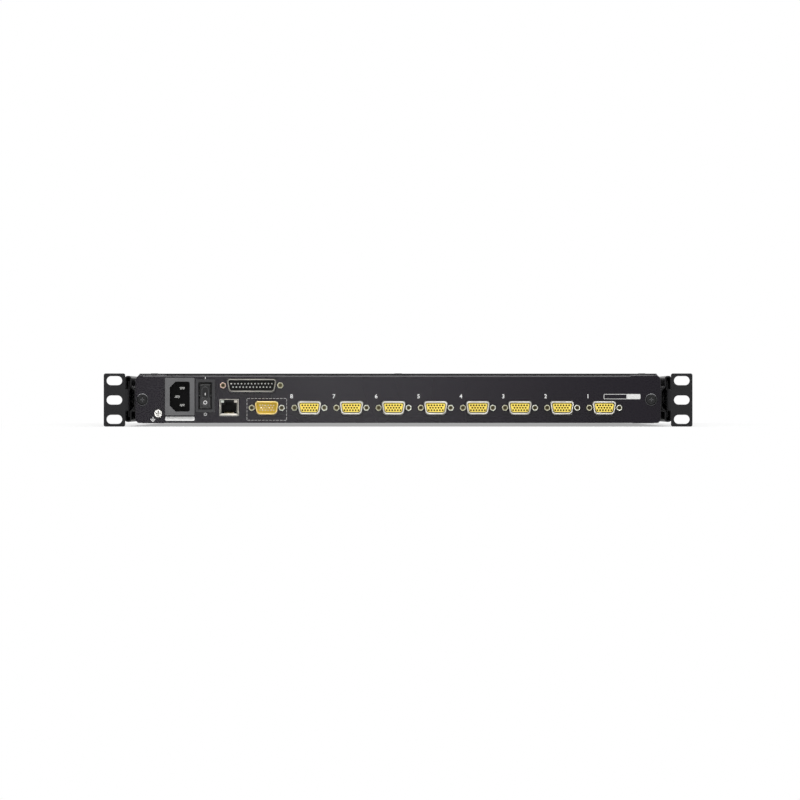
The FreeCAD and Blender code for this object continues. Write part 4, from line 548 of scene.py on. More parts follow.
def rectangle(width, height, radius=0.0, steps=5, centre=(0.0, 0.0)):
    """Points of a rectangle, with round corners where a radius is given."""
    points = []
    for sx, sy, start in ((1, 1, 0), (-1, 1, 90), (-1, -1, 180), (1, -1, 270)):
        cx = centre[0] + sx * (width / 2 - radius)
        cy = centre[1] + sy * (height / 2 - radius)
        if radius == 0:
            points.append((cx, cy))
            continue
        for i in range(steps + 1):
            angle = math.radians(start + 90 * i / steps)
            points.append((cx + radius * math.cos(angle), cy + radius * math.sin(angle)))
    return points


def circle(radius, steps=16, centre=(0.0, 0.0)):
    """Points of a circle."""
    turns = [2 * math.pi * i / steps for i in range(steps)]
    return [(centre[0] + radius * math.cos(a), centre[1] + radius * math.sin(a)) for a in turns]


def d_shape(width, height, slant, cut):
    """Points of a D-shaped port, wide side up, with cut corners."""
    w, h = width / 2, height / 2
    corners = [Vector(p) for p in ((-w + slant, -h), (w - slant, -h), (w, h), (-w, h))]
    points = []
    for i, corner in enumerate(corners):
        for other in (corners[i - 1], corners[(i + 1) % 4]):
            points.append(tuple(corner + (other - corner).normalized() * cut))
    return points


def shown(name, data):
    """A new object in the scene."""
    thing = bpy.data.objects.new(name, data)
    bpy.context.scene.collection.objects.link(thing)
    return thing


class Gather:
    """Collects placed meshes into one piece that rides a body."""

    def __init__(self):
        self.body = bmesh.new()
        self.finishes = []

    def add(self, mesh, place, finish):
        """Adds a mesh at a place, in a finish."""
        if finish not in self.finishes:
            self.finishes.append(finish)
        verts, faces = len(self.body.verts), len(self.body.faces)
        self.body.from_mesh(mesh)
        bpy.data.meshes.remove(mesh)
        self.body.verts.ensure_lookup_table()
        self.body.faces.ensure_lookup_table()
        bmesh.ops.transform(self.body, matrix=place, verts=self.body.verts[verts:])
        for face in self.body.faces[faces:]:
            face.material_index = self.finishes.index(finish)

    def add_plate(self, outlines, thickness, spot, finish, rounding=0.0):
        """Adds a flat plate that faces the rear, with its middle at a spot."""
        self.add(plate(outlines, thickness, rounding), at_rear(*spot), finish)

    def ride(self, name, body, replaces=()):
        """Makes the piece and hangs it on its body."""
        bmesh.ops.remove_doubles(self.body, verts=self.body.verts, dist=1e-7)
        mesh = bpy.data.meshes.new(name)
        self.body.to_mesh(mesh)
        self.body.free()
        for finish in self.finishes:
            mesh.materials.append(finish)
        piece = shown(name, mesh)
        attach(piece, body)
        if replaces:
            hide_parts(*replaces)


def at_rear(x, y, z):
    """A drawing's place on the rear panel, facing the rear."""
    return Matrix.Translation((x, y, z)) @ FACING_REAR


# Settings that a user may change


class DrawerPanelSettings(bpy.types.PropertyGroup):
    """Rear panel, case and printed marks."""

    case_colour: bpy.props.FloatVectorProperty(
        name="Case", description="Paint of the case", subtype="COLOR", size=3,
        default=(0.0095, 0.0095, 0.0105),
    )
    panel_colour: bpy.props.FloatVectorProperty(
        name="Rear panel", description="Paint of the rear panel", subtype="COLOR", size=3,
        default=(0.0042, 0.0020, 0.0066),
    )
    number_height: bpy.props.FloatProperty(
        name="Numbers", description="Height of a port's number", subtype="DISTANCE", unit="LENGTH",
        default=3.3 * MM,
    )
    ink_thickness: bpy.props.FloatProperty(
        name="Ink", description="Thickness of the printed ink", subtype="DISTANCE", unit="LENGTH",
        default=0.03 * MM,
    )


class DrawerPortSettings(bpy.types.PropertyGroup):
    """Connectors of the rear panel."""

    insert_colour: bpy.props.FloatVectorProperty(
        name="Inserts", description="Moulding of the small ports", subtype="COLOR", size=3,
        default=(0.90, 0.70, 0.125),
    )
    shell_colour: bpy.props.FloatVectorProperty(
        name="Shells", description="Plating of the port shells", subtype="COLOR", size=3,
        default=(0.57, 0.55, 0.50),
    )
    post_length: bpy.props.FloatProperty(
        name="Posts", description="Length of the hexagonal posts", subtype="DISTANCE", unit="LENGTH",
        default=5.0 * MM,
    )
    post_flats: bpy.props.FloatProperty(
        name="Flats", description="Width over the posts' flats", subtype="DISTANCE", unit="LENGTH",
        default=4.6 * MM,
    )


class DrawerKeyboardSettings(bpy.types.PropertyGroup):
    """Keyboard and drawer."""

    key_colour: bpy.props.FloatVectorProperty(
        name="Keys", description="Moulding of the keys", subtype="COLOR", size=3,
        default=(0.016, 0.016, 0.018),
    )
    legend_size: bpy.props.FloatProperty(
        name="Letters", description="Size of a key's letter", subtype="DISTANCE", unit="LENGTH",
        default=5.0 * MM,
    )


class DrawerStageSettings(bpy.types.PropertyGroup):
    """Camera, light and floor."""

    lens: bpy.props.FloatProperty(
        name="Lens", description="Focal length", subtype="DISTANCE_CAMERA", default=250.0
    )
    picture_width: bpy.props.FloatProperty(
        name="Width", description="Width of the picture at the rear ears", subtype="DISTANCE",
        unit="LENGTH", default=0.6557,
    )
    key_power: bpy.props.FloatProperty(
        name="Key light", description="Power of the main light", subtype="POWER", default=39.0
    )
    sky: bpy.props.FloatProperty(
        name="Surroundings", description="Strength of the light from all round", default=0.5
    )


# Pieces


class DRAWER_OT_case(bpy.types.Operator):
    """Paint the case, the rails and the rack brackets"""

    bl_idname = "drawer.case"
    bl_label = "Case"

    def execute(self, context):
        settings = context.scene.drawer_panel
        case = powder_paint("case_paint", settings.case_colour)
        # The rear panel's edges lighten strongly: mostly a painted highlight along its top edge, partly
        # worn paint.
        panel = powder_paint("panel_paint", settings.panel_colour, 0.2, 1.0, 1.1, 0.42)
        bracket = powder_paint("bracket_paint", lighter(settings.case_colour, 1.2), 0.36, 0.4)
        # The screw heads' strongly lightened edges are a painted highlight.
        screws = moulded("screw_black", (0.006, 0.006, 0.0065), 0.38, 3000.0, 0.04, 0.25, 20.0)
        cover(case, "base_pan", "top_cover", "bulkhead")
        cover_both(case, "mounting_rail", "front_ear")
        cover(panel, "rear_panel")
        cover_both(bracket, "rear_bracket")
        cover(screws, "case_screws")
        # Its cross recess is darkened as painted shade.
        cover(plated("ground_metal", (0.62, 0.61, 0.58), 0.2, reach=2.2), "ground_screw")
        self.screw_rims()
        self.fold()
        return {"FINISHED"}

    def fold(self):
        """The rolled upper edge of the rear panel, which steps up near its image-right end. Its light
        grey paint is a painted highlight along the panel's top edge.
        """
        low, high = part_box("rear_panel")
        # Painted highlight: the fold is much lighter than the panel.
        paint = powder_paint("fold_painted_highlight", (0.11, 0.107, 0.113), 0.3, 0.6, 0.3, 0.4)
        step, inset = -191.0 * MM, 6.0 * MM
        fold = Gather()
        for start, end, drop in ((step, high.x - inset, 1.25 * MM), (low.x + inset, step, 0.5 * MM)):
            bead = rectangle(end - start, 0.85 * MM, 0.4 * MM)
            spot = ((start + end) / 2, high.y + 0.05 * MM, high.z - drop)
            fold.add_plate([bead], 0.3 * MM, spot, paint, 0.1 * MM)
        fold.ride("panel_fold", "chassis")

    def screw_rims(self):
        """The rolled foot and the unpainted metal recess of the two screws that hold the rear panel;
        their metal is darker below the upper row of ports, a painted shade that leaves the rims' upper
        arcs bright.
        """
        # Painted shade: the darker lower colour.
        metal = plated("screw_rim", (0.38, 0.38, 0.39), 0.3, lower=(0.15, 0.15, 0.155))
        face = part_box("rear_panel")[1].y
        rims = Gather()
        for x, z in PANEL_SCREWS:
            foot = tube(circle(4.62 * MM, 28), 0.26 * MM)
            rims.add(foot, at_rear(x, face + 0.26 * MM, z), metal)
            for width, height in ((3.6, 0.7), (0.7, 3.6)):
                arm = rectangle(width * MM, height * MM)
                rims.add_plate([arm], 0.1 * MM, (x, face + 0.95 * MM, z), metal)
        rims.ride("panel_screw_rims", "chassis")


class DRAWER_OT_marks(bpy.types.Operator):
    """Print the port numbers, the switch's marks, the dashed box and the blank bars"""

    bl_idname = "drawer.marks"
    bl_label = "Panel marks"

    def execute(self, context):
        settings = context.scene.drawer_panel
        ink = printed_ink("white_ink", (0.86, 0.86, 0.85))
        thin = printed_ink("thin_ink", (0.66, 0.66, 0.65))
        film = settings.ink_thickness
        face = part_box("rear_panel")[1].y + film / 2
        marks = Gather()

        def mark(x, z, finish, *outlines):
            marks.add_plate(outlines, film, (x, face, z), finish)

        aside, drift, above = 14.7 * MM, 0.2 * MM, 9.3 * MM
        for i, (x, z) in enumerate(computer_ports()):
            number = letters(str(PORT_COUNT - i), settings.number_height / CAP_HEIGHT, film, 0.05 * MM)
            marks.add(number, at_rear(x + aside - drift * i, face, z + above), ink)
        self.switch_marks(mark, ink)
        self.console_box(mark, thin)
        self.blank_bars(mark, ink, thin)
        self.earth_mark(mark, ink)
        marks.ride("panel_marks", "chassis")
        return {"FINISHED"}

    def switch_marks(self, mark, ink):
        """The I over the switch and the O under it."""
        centre = middle("power_switch_frame")
        mark(centre.x, centre.z + 14.9 * MM, ink, rectangle(0.5 * MM, 2.1 * MM))
        mark(centre.x, centre.z - 15.1 * MM, ink, circle(1.25 * MM, 24), circle(0.8 * MM, 24))

    def console_box(self, mark, ink):
        """The dashed box round the port of the second console."""
        x, z = middle("console_port_insert").x, ports_height() - 1.3 * MM
        width, height, line = 32.6 * MM, 17.9 * MM, 0.24 * MM
        dash, step = 2.1 * MM, 3.02 * MM
        for length, offset, upright in ((width, height / 2, False), (height, width / 2, True)):
            count = round(length / step)
            for i in range(count):
                along = (i - (count - 1) / 2) * length / count
                for side in (-offset, offset):
                    if upright:
                        mark(x + side, z + along, ink, rectangle(line, dash))
                    else:
                        mark(x + along, z + side, ink, rectangle(dash, line))

    def blank_bars(self, mark, ink, thin):
        """A white bar under the inlet, and a bar by the last port, half of it only outlined."""
        inlet = middle("power_inlet")
        mark(inlet.x, inlet.z - 18.2 * MM, ink, rectangle(24.1 * MM, 3.4 * MM, 1.0 * MM))
        x, z = computer_ports()[-1]
        width, height, line = 19.0 * MM, 4.2 * MM, 0.4 * MM
        window = rectangle(width - 2 * line, height - 2 * line, line / 2)
        z += 9.2 * MM
        mark(x - 24.2 * MM, z, thin, rectangle(11.3 * MM, height, 0.9 * MM))
        mark(x - 9.2 * MM, z, thin, rectangle(width, height, line), window)

    def earth_mark(self, mark, ink):
        """The earth symbol beside the bright screw."""
        screw = middle("ground_screw")
        x, z = screw.x + 4.4 * MM, screw.z - 5.1 * MM
        mark(x, z + 1.4 * MM, ink, rectangle(0.5 * MM, 2.0 * MM))
        for i, width in enumerate((4.2, 2.8, 1.4)):
            mark(x, z + (0.4 - i * 0.9) * MM, ink, rectangle(width * MM, 0.5 * MM))


def computer_ports():
    """The centres of the computer ports, (x, z), from the object's right-hand side."""
    low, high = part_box("computer_port_shells")
    first, last = high.x - PORT_FLANGE_HALF, low.x + PORT_FLANGE_HALF
    step = (last - first) / (PORT_COUNT - 1)
    return [(first + step * i, ports_height()) for i in range(PORT_COUNT)]


def ports_height():
    """The height of the small ports' centres."""
    return middle("computer_port_shells").z


class DRAWER_OT_posts(bpy.types.Operator):
    """Make the hexagonal posts beside the ports, with chamfered crowns and threaded bores"""

    bl_idname = "drawer.posts"
    bl_label = "Port posts"

    def execute(self, context):
        settings = context.scene.drawer_ports
        warm = plated("post_brass", (0.62, 0.60, 0.44), 0.26, (0.52, 0.51, 0.38))
        copper = plated("post_copper", (0.84, 0.60, 0.50), 0.26, (0.72, 0.52, 0.44))
        bright = plated("post_nickel", (0.80, 0.82, 0.74), 0.22, (0.70, 0.71, 0.60))
        dark = moulded("bore_shadow", (0.15, 0.125, 0.06), 0.6)
        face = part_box("port_jackscrews")[0].y
        posts = Gather()
        small = [(middle("console_port_insert").x, ports_height())] + computer_ports()
        chain_x = middle("chain_port_insert").x
        chain_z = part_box("pin_port_shells")[1].z - 6.2 * MM
        sides = ((PORT_POST_OFFSET, warm), (-PORT_POST_OFFSET, bright))
        places = [(x + offset, z, finish) for x, z in small for offset, finish in sides]
        for offset, finish in ((CHAIN_POST_OFFSET, copper), (-CHAIN_POST_OFFSET, warm)):
            places.append((chain_x + offset, chain_z, finish))
        for i, (x, z, finish) in enumerate(places):
            spot = at_rear(x, face, z) @ Matrix.Rotation(math.radians(17.0 * i), 4, "Z")
            outside, bore = self.post(settings)
            posts.add(outside, spot, finish)
            posts.add(bore, spot, dark)
        posts.ride("threaded_posts", "chassis", ["port_jackscrews"])
        return {"FINISHED"}

    def post(self, settings):
        """The outside and the bore of one post, about its own axis."""
        length, inner = settings.post_length, settings.post_flats / 2
        mouth, chamfer, lead_in = 1.8 * MM, 0.55 * MM, 0.4 * MM
        pitch, depth, rings, steps = 0.64 * MM, 2.6 * MM, 13, 24
        angles = [2 * math.pi * i / steps for i in range(steps)]

        def ring(z, reach):
            return [(reach(a) * math.cos(a), reach(a) * math.sin(a), z) for a in angles]

        def hexagon(a):
            sector = math.pi / 3
            return inner / math.cos((a + sector / 2) % sector - sector / 2)

        lip = ring(length, lambda a: mouth)
        crown = ring(length, lambda a: inner * 0.98)
        outside = [ring(0.0, hexagon), ring(length - chamfer, hexagon), crown, lip]
        bore = [lip]
        for i in range(rings):
            z = length - lead_in - depth * i / (rings - 1)
            bore.append(ring(z, lambda a: self.thread(a, z, pitch)))
        return turned(outside, crown=False), turned(bore, foot=False)

    def thread(self, angle, z, pitch):
        """The bore's radius, which follows a helix."""
        crest, depth = 1.28 * MM, 0.26 * MM
        phase = (z / pitch + angle / (2 * math.pi)) % 1.0
        return crest + depth * abs(2 * phase - 1)


class DRAWER_OT_inserts(bpy.types.Operator):
    """Make the small ports' yellow inserts, with a real hole for every contact"""

    bl_idname = "drawer.inserts"
    bl_label = "Port inserts"

    def execute(self, context):
        settings = context.scene.drawer_ports
        # Painted shade darkens the insert in its holes and recesses; its edges are lightened a little as
        # a painted highlight.
        yellow = moulded("insert_yellow", settings.insert_colour, 0.36, 2600.0, 0.02, 0.3, 1.1, 1.6)
        shadow = moulded("hole_shadow", (0.045, 0.014, 0.001), 0.8, shine=0.0)
        low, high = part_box("computer_port_inserts")
        inserts = Gather()
        outline = d_shape(16.0 * MM, 7.0 * MM, 1.23 * MM, 0.9 * MM)
        holes = [
            circle(0.74 * MM, 12, ((i - (count - 1) / 2) * CONTACT_PITCH, height))
            for count, height in CONTACT_ROWS
            for i in range(count)
        ]
        front, floor = 2.4 * MM, 0.1 * MM
        block, block_width, block_rise = 13.0 * MM, 19.6 * MM, 5.3 * MM
        neck = high.y - front - floor - low.y - block
        for x, z in computer_ports():
            spot = (x, high.y - front / 2, z)
            inserts.add_plate([outline] + holes, front, spot, yellow, 0.12 * MM)
            inserts.add_plate([outline], floor, (x, high.y - front - floor / 2, z), shadow)
            inserts.add_plate([outline], neck, (x, low.y + block + neck / 2, z), yellow)
            top = z + block_rise
            spot = (x, low.y + block / 2, (top + low.z) / 2)
            inserts.add_plate([rectangle(block_width, top - low.z)], block, spot, yellow)
        inserts.ride("port_inserts", "chassis", ["computer_port_inserts"])
        orange = moulded("insert_orange", (1.0, 0.68, 0.05), 0.36, 2600.0, 0.02, 0.3, 1.1)
        cover(orange, "console_port_insert")
        return {"FINISHED"}


class DRAWER_OT_connectors(bpy.types.Operator):
    """Finish the shells, the contacts, the mains inlet and the network jack with its lamps"""

    bl_idname = "drawer.connectors"
    bl_label = "Connectors"

    def execute(self, context):
        settings = context.scene.drawer_ports
        shells = (("computer_port_shells", 1.0), ("network_jack_shell", 0.62), ("pin_port_shells", 0.5))
        for node, level in shells:
            colour = lighter(settings.shell_colour, level)
            # Painted reflection: the pin ports' shells turn warm below the upper row of ports, the
            # orange insert mirrored in them.
            warm = (0.84, 0.64, 0.24) if node == "pin_port_shells" else None
            tint = lighter(colour, 0.85)
            cover(plated(node + "_nickel", colour, 0.2, tint, reach=3.0, lower=warm), node)
        black = moulded("insert_black", (0.004, 0.004, 0.004), 0.42, 3000.0, 0.02, 0.15)
        cover(black, "chain_port_insert", "network_jack_insert")
        gold, tin, steel = (0.84, 0.70, 0.40), (0.60, 0.60, 0.58), (0.15, 0.15, 0.145)
        cover(contact_finish("contact_metal", gold, tin, steel), "connector_contacts")
        # The inlet's near-black inside is painted shade.
        inlet = inlet_finish("inlet_plastic", (0.125, 0.125, 0.128), (0.004, 0.004, 0.005))
        cover(inlet, "power_inlet")
        self.lamps()
        self.lips(settings)
        return {"FINISHED"}

    def lips(self, settings):
        """The folded lips of the jack's shield, at both sides of its mouth and under it. The side lips
        are a darker copy of the shield metal, a painted shade, and the lip under the mouth a lighter
        copy, a painted highlight.
        """
        low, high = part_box("network_jack_shell")
        centre = middle("network_jack_shell")
        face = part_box("network_jack_insert")[1].y
        half = (high.x - low.x) / 2 - 0.5 * MM
        # Painted shade and highlight: darker side lips and a lighter lip under the mouth, copies of one
        # shield metal.
        side = plated("shield_side_shaded", lighter(settings.shell_colour, 0.36), 0.26)
        foot = plated("shield_foot_highlit", lighter(settings.shell_colour, 1.1), 0.22)
        upright = rectangle(0.9 * MM, 9.6 * MM, 0.2 * MM, 3)
        level = rectangle(2 * half - 0.4 * MM, 1.3 * MM, 0.2 * MM, 3)
        out, down = half - 0.6 * MM, 0.6 * MM
        lips = Gather()
        for lip, across, drop, finish in (
            (upright, -out, down, side),
            (upright, out, down, side),
            (level, 0.0, 5.6 * MM, foot),
        ):
            spot = (centre.x + across, face, centre.z - drop)
            lips.add_plate([lip], 0.24 * MM, spot, finish, 0.06 * MM)
        lips.ride("shield_lips", "chassis")

    def lamps(self):
        """The two lamps in the jack's upper corners."""
        centre = middle("network_jack_insert")
        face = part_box("network_jack_insert")[1].y
        lens = rectangle(2.8 * MM, 1.9 * MM, 0.25 * MM, 3)
        lamps = Gather()
        for across, name, colour in (
            (5.5 * MM, "lamp_green", (0.48, 0.52, 0.46)),
            (-5.5 * MM, "lamp_amber", (0.53, 0.50, 0.44)),
        ):
            spot = (centre.x + across, face, centre.z + 5.0 * MM)
            lamps.add_plate([lens], 0.9 * MM, spot, lit_lens(name, colour), 0.12 * MM)
        lamps.ride("jack_lamps", "chassis")


class DRAWER_OT_switch(bpy.types.Operator):
    """Finish the power switch and mark its rocker"""

    bl_idname = "drawer.switch"
    bl_label = "Power switch"

    def execute(self, context):
        # The frame's lightened edges are a painted highlight.
        satin = moulded("switch_plastic", (0.020, 0.020, 0.022), 0.34, 3000.0, 0.02, 0.4, 9.0)
        cover(satin, "power_switch_frame")
        # The rocker's lightened edges are a painted highlight.
        gloss = moulded("rocker_plastic", (0.007, 0.007, 0.0075), 0.24, 3600.0, 0.01, 0.35, 4.0)
        cover(gloss, "power_rocker")
        ink = printed_ink("rocker_ink", (0.74, 0.74, 0.73))
        marks = Gather()
        bar = plate([rectangle(0.6 * MM, 2.2 * MM)], 0.06 * MM)
        ring = plate([circle(1.6 * MM, 24), circle(1.05 * MM, 24)], 0.06 * MM)
        marks.add(bar, self.on_face(2.1 * MM), ink)
        marks.add(ring, self.on_face(-4.8 * MM), ink)
        bead = []
        for u, v in rectangle(5.3 * MM, 15.8 * MM, 2.6 * MM, 8, (0.0, 0.4 * MM)):
            bead.append(self.on_face(v) @ Vector((u, 0.0, 0.0)))
        # The bead round the rocker's face is much lighter than the rocker: a painted highlight on the
        # face's oval edge.
        highlight_bead = moulded("rocker_rim_highlight", (0.06, 0.06, 0.063), 0.3)
        marks.add(tube(bead, 0.32 * MM), Matrix.Identity(4), highlight_bead)
        marks.ride("rocker_marks", "power_switch")
        return {"FINISHED"}

    def on_face(self, height):
        """The place at a height on the rocker's face, which is a shallow V and is tilted at rest."""
        pivot = joint_place("power_rocker_tilt")
        rise, half_length, crease_depth, rest_tilt = 1.7, 10.2, 4.22 * MM, -8.0
        slope = rise / half_length
        depth = crease_depth + slope * abs(height)
        lean = Matrix.Rotation(-math.copysign(math.atan(slope), height), 4, "X")
        rest = Matrix.Translation(pivot) @ Matrix.Rotation(math.radians(rest_tilt), 4, "X")
        return rest @ Matrix.Translation((0.0, depth, height)) @ lean @ FACING_REAR


class DRAWER_OT_slides(bpy.types.Operator):
    """Finish the slides, the hinges, the tray, the front bar and the catches"""

    bl_idname = "drawer.slides"
    bl_label = "Slides and tray"

    def execute(self, context):
        steel = drawn_steel("slide_steel", (0.52, 0.53, 0.55))
        cover_both(steel, "slide_outer", "slide_middle", "slide_inner")
        hinge = powder_paint("hinge_steel", (0.05, 0.05, 0.053), 0.34, 0.9)
        cover_both(hinge, "hinge_bracket", "hinge_arm")
        case = context.scene.drawer_panel.case_colour
        cover(powder_paint("tray_paint", lighter(case, 1.2), 0.4), "drawer_tray")
        cover(moulded("handle_plastic", lighter(case, 1.3), 0.45, 1500.0, 0.06), "front_handle")
        catch = moulded("catch_plastic", (0.05, 0.05, 0.053), 0.4, 1800.0, 0.04)
        cover_both(catch, "release_catch")
        return {"FINISHED"}


class DRAWER_OT_keyboard(bpy.types.Operator):
    """Finish the keyboard and print the keys"""

    bl_idname = "drawer.keyboard"
    bl_label = "Keyboard"

    def execute(self, context):
        settings = context.scene.drawer_keyboard
        deck = moulded("deck_plastic", (0.018, 0.018, 0.020), 0.52, 1300.0, 0.07)
        cover(deck, "keyboard_deck", "keyboard_base")
        cap = moulded("key_plastic", settings.key_colour, 0.48, 2400.0, 0.04)
        ink = printed_ink("key_ink", (0.62, 0.62, 0.60))
        for name, text in KEY_ROWS.items():
            row = f"keys_{name}_row"
            cover(cap, row)
            self.print_row(row, text, ink, settings.legend_size)
        cover(touch_finish("pad_surface", (0.030, 0.030, 0.033)), "touchpad")
        cover_both(moulded("pad_buttons", (0.026, 0.026, 0.029), 0.38, 3000.0, 0.02), "touchpad_button")
        return {"FINISHED"}

    def print_row(self, row, text, ink, size):
        """Prints one row's legends: whole words are smaller than single letters."""
        low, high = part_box(row)
        left = low.x + 2.0 * MM
        y = (low.y + high.y) / 2 + 3.4 * MM
        legends = Gather()
        for block in text.split("|"):
            for key in block.split():
                word, _, width = key.partition(":")
                single = len(word) == 1
                if word != "_":
                    mesh = letters(word, size if single else size * 0.58, 0.03 * MM)
                    reach = 3.4 * MM if single else (1.3 + 0.85 * len(word)) * MM
                    spot = (left + reach, y, high.z + 0.01 * MM)
                    legends.add(mesh, Matrix.Translation(spot), ink)
                left += float(width or 1) * KEY_PITCH
            left += KEY_BLOCK_GAP
        legends.ride(row + "_legends", row)


class DRAWER_OT_screen(bpy.types.Operator):
    """Finish the folding screen and mark its buttons"""

    bl_idname = "drawer.screen"
    bl_label = "Folding screen"

    def execute(self, context):
        case = context.scene.drawer_panel.case_colour
        cover(powder_paint("lid_paint", lighter(case, 1.05), 0.4), "lid_cover")
        cover(moulded("bezel_plastic", (0.016, 0.016, 0.018), 0.5, 1500.0, 0.06), "lid_bezel")
        cover(glass_finish("screen", (0.006, 0.007, 0.009)), "lcd_panel")
        buttons = moulded("button_plastic", (0.055, 0.055, 0.058), 0.4, 2600.0, 0.03)
        ink = printed_ink("bezel_ink", (0.55, 0.55, 0.54))
        marks = Gather()
        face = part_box("lid_bezel")[0].z
        for name, shapes in self.symbols().items():
            cover(buttons, name)
            centre = middle(name)
            spot = Matrix.Translation((centre.x, centre.y - 6.0 * MM, face - 0.01 * MM)) @ FACING_DOWN
            for outlines in shapes:
                marks.add(plate(outlines, 0.03 * MM), spot, ink)
        lamp = plate([circle(0.9 * MM, 16)], 0.3 * MM, 0.08 * MM)
        power = middle("screen_power_button")
        spot = Matrix.Translation((power.x + 12.0 * MM, power.y, face)) @ FACING_DOWN
        marks.add(lamp, spot, lit_lens("lamp_screen", (0.2, 0.55, 0.25)))
        marks.ride("bezel_marks", "lid")
        return {"FINISHED"}

    def symbols(self):
        """Each button's generic symbol: the outlines of every flat shape in it."""
        bar = rectangle(2.4 * MM, 0.4 * MM)
        lines = [rectangle(2.4 * MM, 0.35 * MM, centre=(0.0, v * MM)) for v in (-0.8, 0.0, 0.8)]
        return {
            "menu_button": [[line] for line in lines],
            "select_button": [[rectangle(2.0 * MM, 2.0 * MM), rectangle(1.3 * MM, 1.3 * MM)]],
            "minus_button": [[bar]],
            "plus_button": [[bar], [rectangle(0.4 * MM, 2.4 * MM)]],
            "screen_power_button": [
                [circle(1.25 * MM, 24), circle(0.9 * MM, 24)],
                [rectangle(0.4 * MM, 1.5 * MM, centre=(0.0, 1.1 * MM))],
            ],
        }


class DRAWER_OT_boards(bpy.types.Operator):
    """Finish the circuit boards"""

    bl_idname = "drawer.boards"
    bl_label = "Boards"

    def execute(self, context):
        lacquer = (0.012, 0.10, 0.045)
        for name, node, parts in (
            ("main_board", "switch_board", (0.03, 0.03, 0.032)),
            ("supply_board", "power_supply", (0.09, 0.06, 0.03)),
            ("strip_board", "button_board", (0.02, 0.10, 0.05)),
        ):
            cover(board_finish(name, lacquer, parts, node), node)
        return {"FINISHED"}


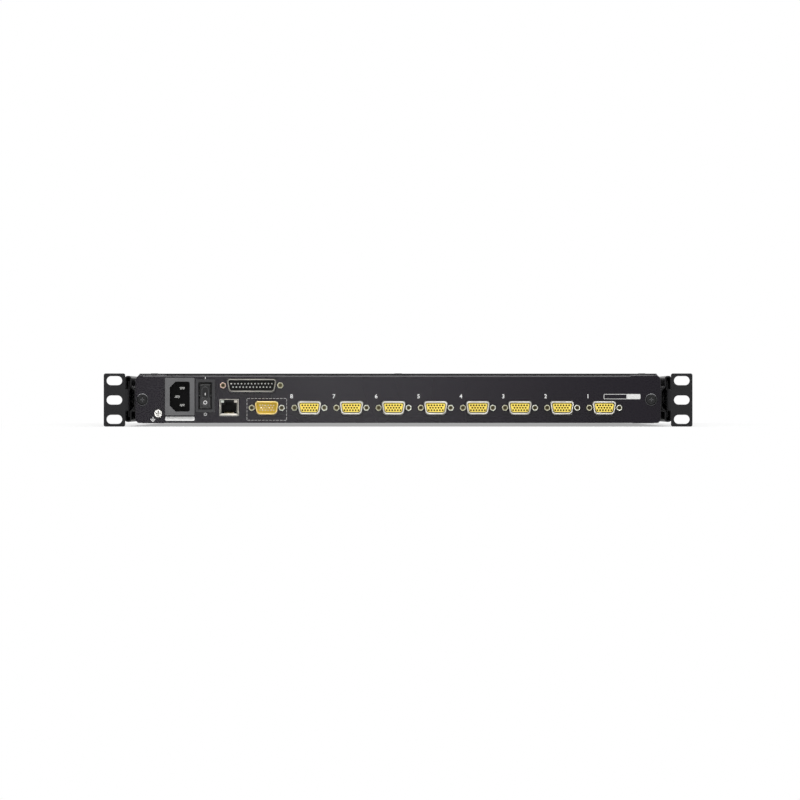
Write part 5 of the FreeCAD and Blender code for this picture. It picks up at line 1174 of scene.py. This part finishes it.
class DRAWER_OT_stage(bpy.types.Operator):
    """Set the floor, the light and the camera"""

    bl_idname = "drawer.stage"
    bl_label = "Stage"

    def execute(self, context):
        scene = context.scene
        settings = scene.drawer_stage
        self.floor()
        self.surroundings(scene, settings.sky)
        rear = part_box("rear_bracket_left")[1].y
        target = Vector((0.0, rear, 0.0))
        beside = self.camera(scene, settings, rear) + Vector((0.112, 0.1, -0.01))
        for name, place, aim, size, share in (
            ("key", (0.25, 2.7, 2.1), target, (1.5, 0.9), 1.0),
            ("fill", (-2.0, 2.3, 2.2), target, (1.6, 1.2), 0.57),
            ("top", (0.0, 0.6, 2.4), (0.0, 0.3, 0.0), (2.4, 1.4), 0.36),
            ("front", (1.2, -2.2, 2.4), (0.0, 0.0, 0.0), (1.8, 1.2), 0.65),
            ("glance", beside, target, (0.1, 0.016), 0.13),
        ):
            self.light(name, place, aim, size, settings.key_power * share)
        scene.view_settings.view_transform = "Standard"
        return {"FINISHED"}

    def floor(self):
        """A wide pale floor at the object's lowest point, greyer close round the object as a painted
        shadow.
        """
        half = 9.0
        low = CAD_BOX[0].z
        corners = ((-half, -half), (half, -half), (half, half), (-half, half))
        mesh = bpy.data.meshes.new("floor")
        mesh.from_pydata([(x, y, low) for x, y in corners], [], [(0, 1, 2, 3)])
        graph = Graph("floor_paper")
        grain = graph.noise(300.0)
        white = graph.blend(grain, (0.84, 0.84, 0.84), (0.86, 0.86, 0.86))
        paper = graph.shader(Base_Color=white, Roughness=0.9, Specular_IOR_Level=0.0)
        glow = graph.node("ShaderNodeEmission", inputs={"Color": WHITE, "Strength": 1.0})
        # Painted shadow: near the object's outline the floor shows less glow and more grey paper, which
        # also lets the real shadow show.
        plain = self.clear_of_object(graph).rising(0.0, 0.12) * 0.62 + 0.38
        mixed = graph.node("ShaderNodeMixShader", inputs=[self.seen(graph) * plain, paper, glow])
        graph.node("ShaderNodeOutputMaterial", inputs={"Surface": mixed})
        mesh.materials.append(graph.owner)
        floor = shown("floor", mesh)

    def clear_of_object(self, graph):
        """How far a floor point lies outside the object's outline."""
        low, high = CAD_BOX
        squares = []
        for axis in (0, 1):
            centre, half = (low[axis] + high[axis]) / 2, (high[axis] - low[axis]) / 2
            outside = (abs(graph.part(axis) - centre) - half).math("MAXIMUM", 0.0)
            squares.append(outside * outside)
        return (squares[0] + squares[1]) ** 0.5

    def seen(self, graph):
        """1 for what the camera sees, directly, mirrored or through glass."""
        kinds = ("Camera", "Glossy", "Transmission")
        rays = [graph.node("ShaderNodeLightPath", output=f"Is {kind} Ray") for kind in kinds]
        return rays[0].math("MAXIMUM", rays[1].math("MAXIMUM", rays[2]))

    def surroundings(self, scene, strength):
        """White all round to the eye, and a weaker even light on the object."""
        graph = Graph("studio", "worlds")
        scene.world = graph.owner
        level = self.seen(graph) * (1.0 - strength) + strength
        back = graph.node("ShaderNodeBackground", inputs={"Color": WHITE, "Strength": level})
        graph.node("ShaderNodeOutputWorld", inputs={"Surface": back})

    def light(self, name, place, target, size, power):
        """A soft rectangular lamp that points at a target."""
        lamp = bpy.data.lights.new(name, "AREA")
        lamp.shape = "RECTANGLE"
        lamp.size, lamp.size_y = size
        lamp.energy = power
        stand = shown(name, lamp)
        stand.location = place
        stand.rotation_euler = (Vector(target) - Vector(place)).to_track_quat("-Z", "Y").to_euler()

    def camera(self, scene, settings, rear):
        """A level camera straight behind the object, slightly to one side of its middle."""
        aside = -1.56 * MM
        lens = bpy.data.cameras.new("view")
        lens.sensor_width = 36.0
        lens.lens = settings.lens
        distance = settings.picture_width * lens.lens / lens.sensor_width
        view = shown("view", lens)
        view.location = (aside, rear + distance, 0.0)
        view.rotation_euler = (math.radians(90.0), 0.0, math.radians(180.0))
        scene.camera = view
        return view.location.copy()


class DRAWER_PT_sidebar(bpy.types.Panel):
    """The drawer's settings and steps"""

    bl_label = "Console Drawer"
    bl_idname = "DRAWER_PT_sidebar"
    bl_space_type = "VIEW_3D"
    bl_region_type = "UI"
    bl_category = "Console Drawer"

    def draw(self, context):
        for name in SETTINGS:
            group = getattr(context.scene, name)
            column = self.layout.column()
            for key in group.__annotations__:
                column.prop(group, key)
        for operator in STEPS:
            self.layout.operator(operator.bl_idname)


SETTINGS = {
    "drawer_panel": DrawerPanelSettings,
    "drawer_ports": DrawerPortSettings,
    "drawer_keyboard": DrawerKeyboardSettings,
    "drawer_stage": DrawerStageSettings,
}
STEPS = (
    DRAWER_OT_case,
    DRAWER_OT_marks,
    DRAWER_OT_posts,
    DRAWER_OT_inserts,
    DRAWER_OT_connectors,
    DRAWER_OT_switch,
    DRAWER_OT_slides,
    DRAWER_OT_keyboard,
    DRAWER_OT_screen,
    DRAWER_OT_boards,
    DRAWER_OT_stage,
)


def register():
    """Adds the settings, the steps and the sidebar panel."""
    for name, group in SETTINGS.items():
        bpy.utils.register_class(group)
        setattr(bpy.types.Scene, name, bpy.props.PointerProperty(type=group))
    for step in STEPS:
        bpy.utils.register_class(step)
    bpy.utils.register_class(DRAWER_PT_sidebar)


def unregister():
    """Takes them away again."""
    bpy.utils.unregister_class(DRAWER_PT_sidebar)
    for step in reversed(STEPS):
        bpy.utils.unregister_class(step)
    for name, group in SETTINGS.items():
        delattr(bpy.types.Scene, name)
        bpy.utils.unregister_class(group)


def main():
    """Dresses the object."""
    register()
    for step in STEPS:
        group, name = step.bl_idname.split(".")
        getattr(getattr(bpy.ops, group), name)()


if __name__ == "__main__":
    main()
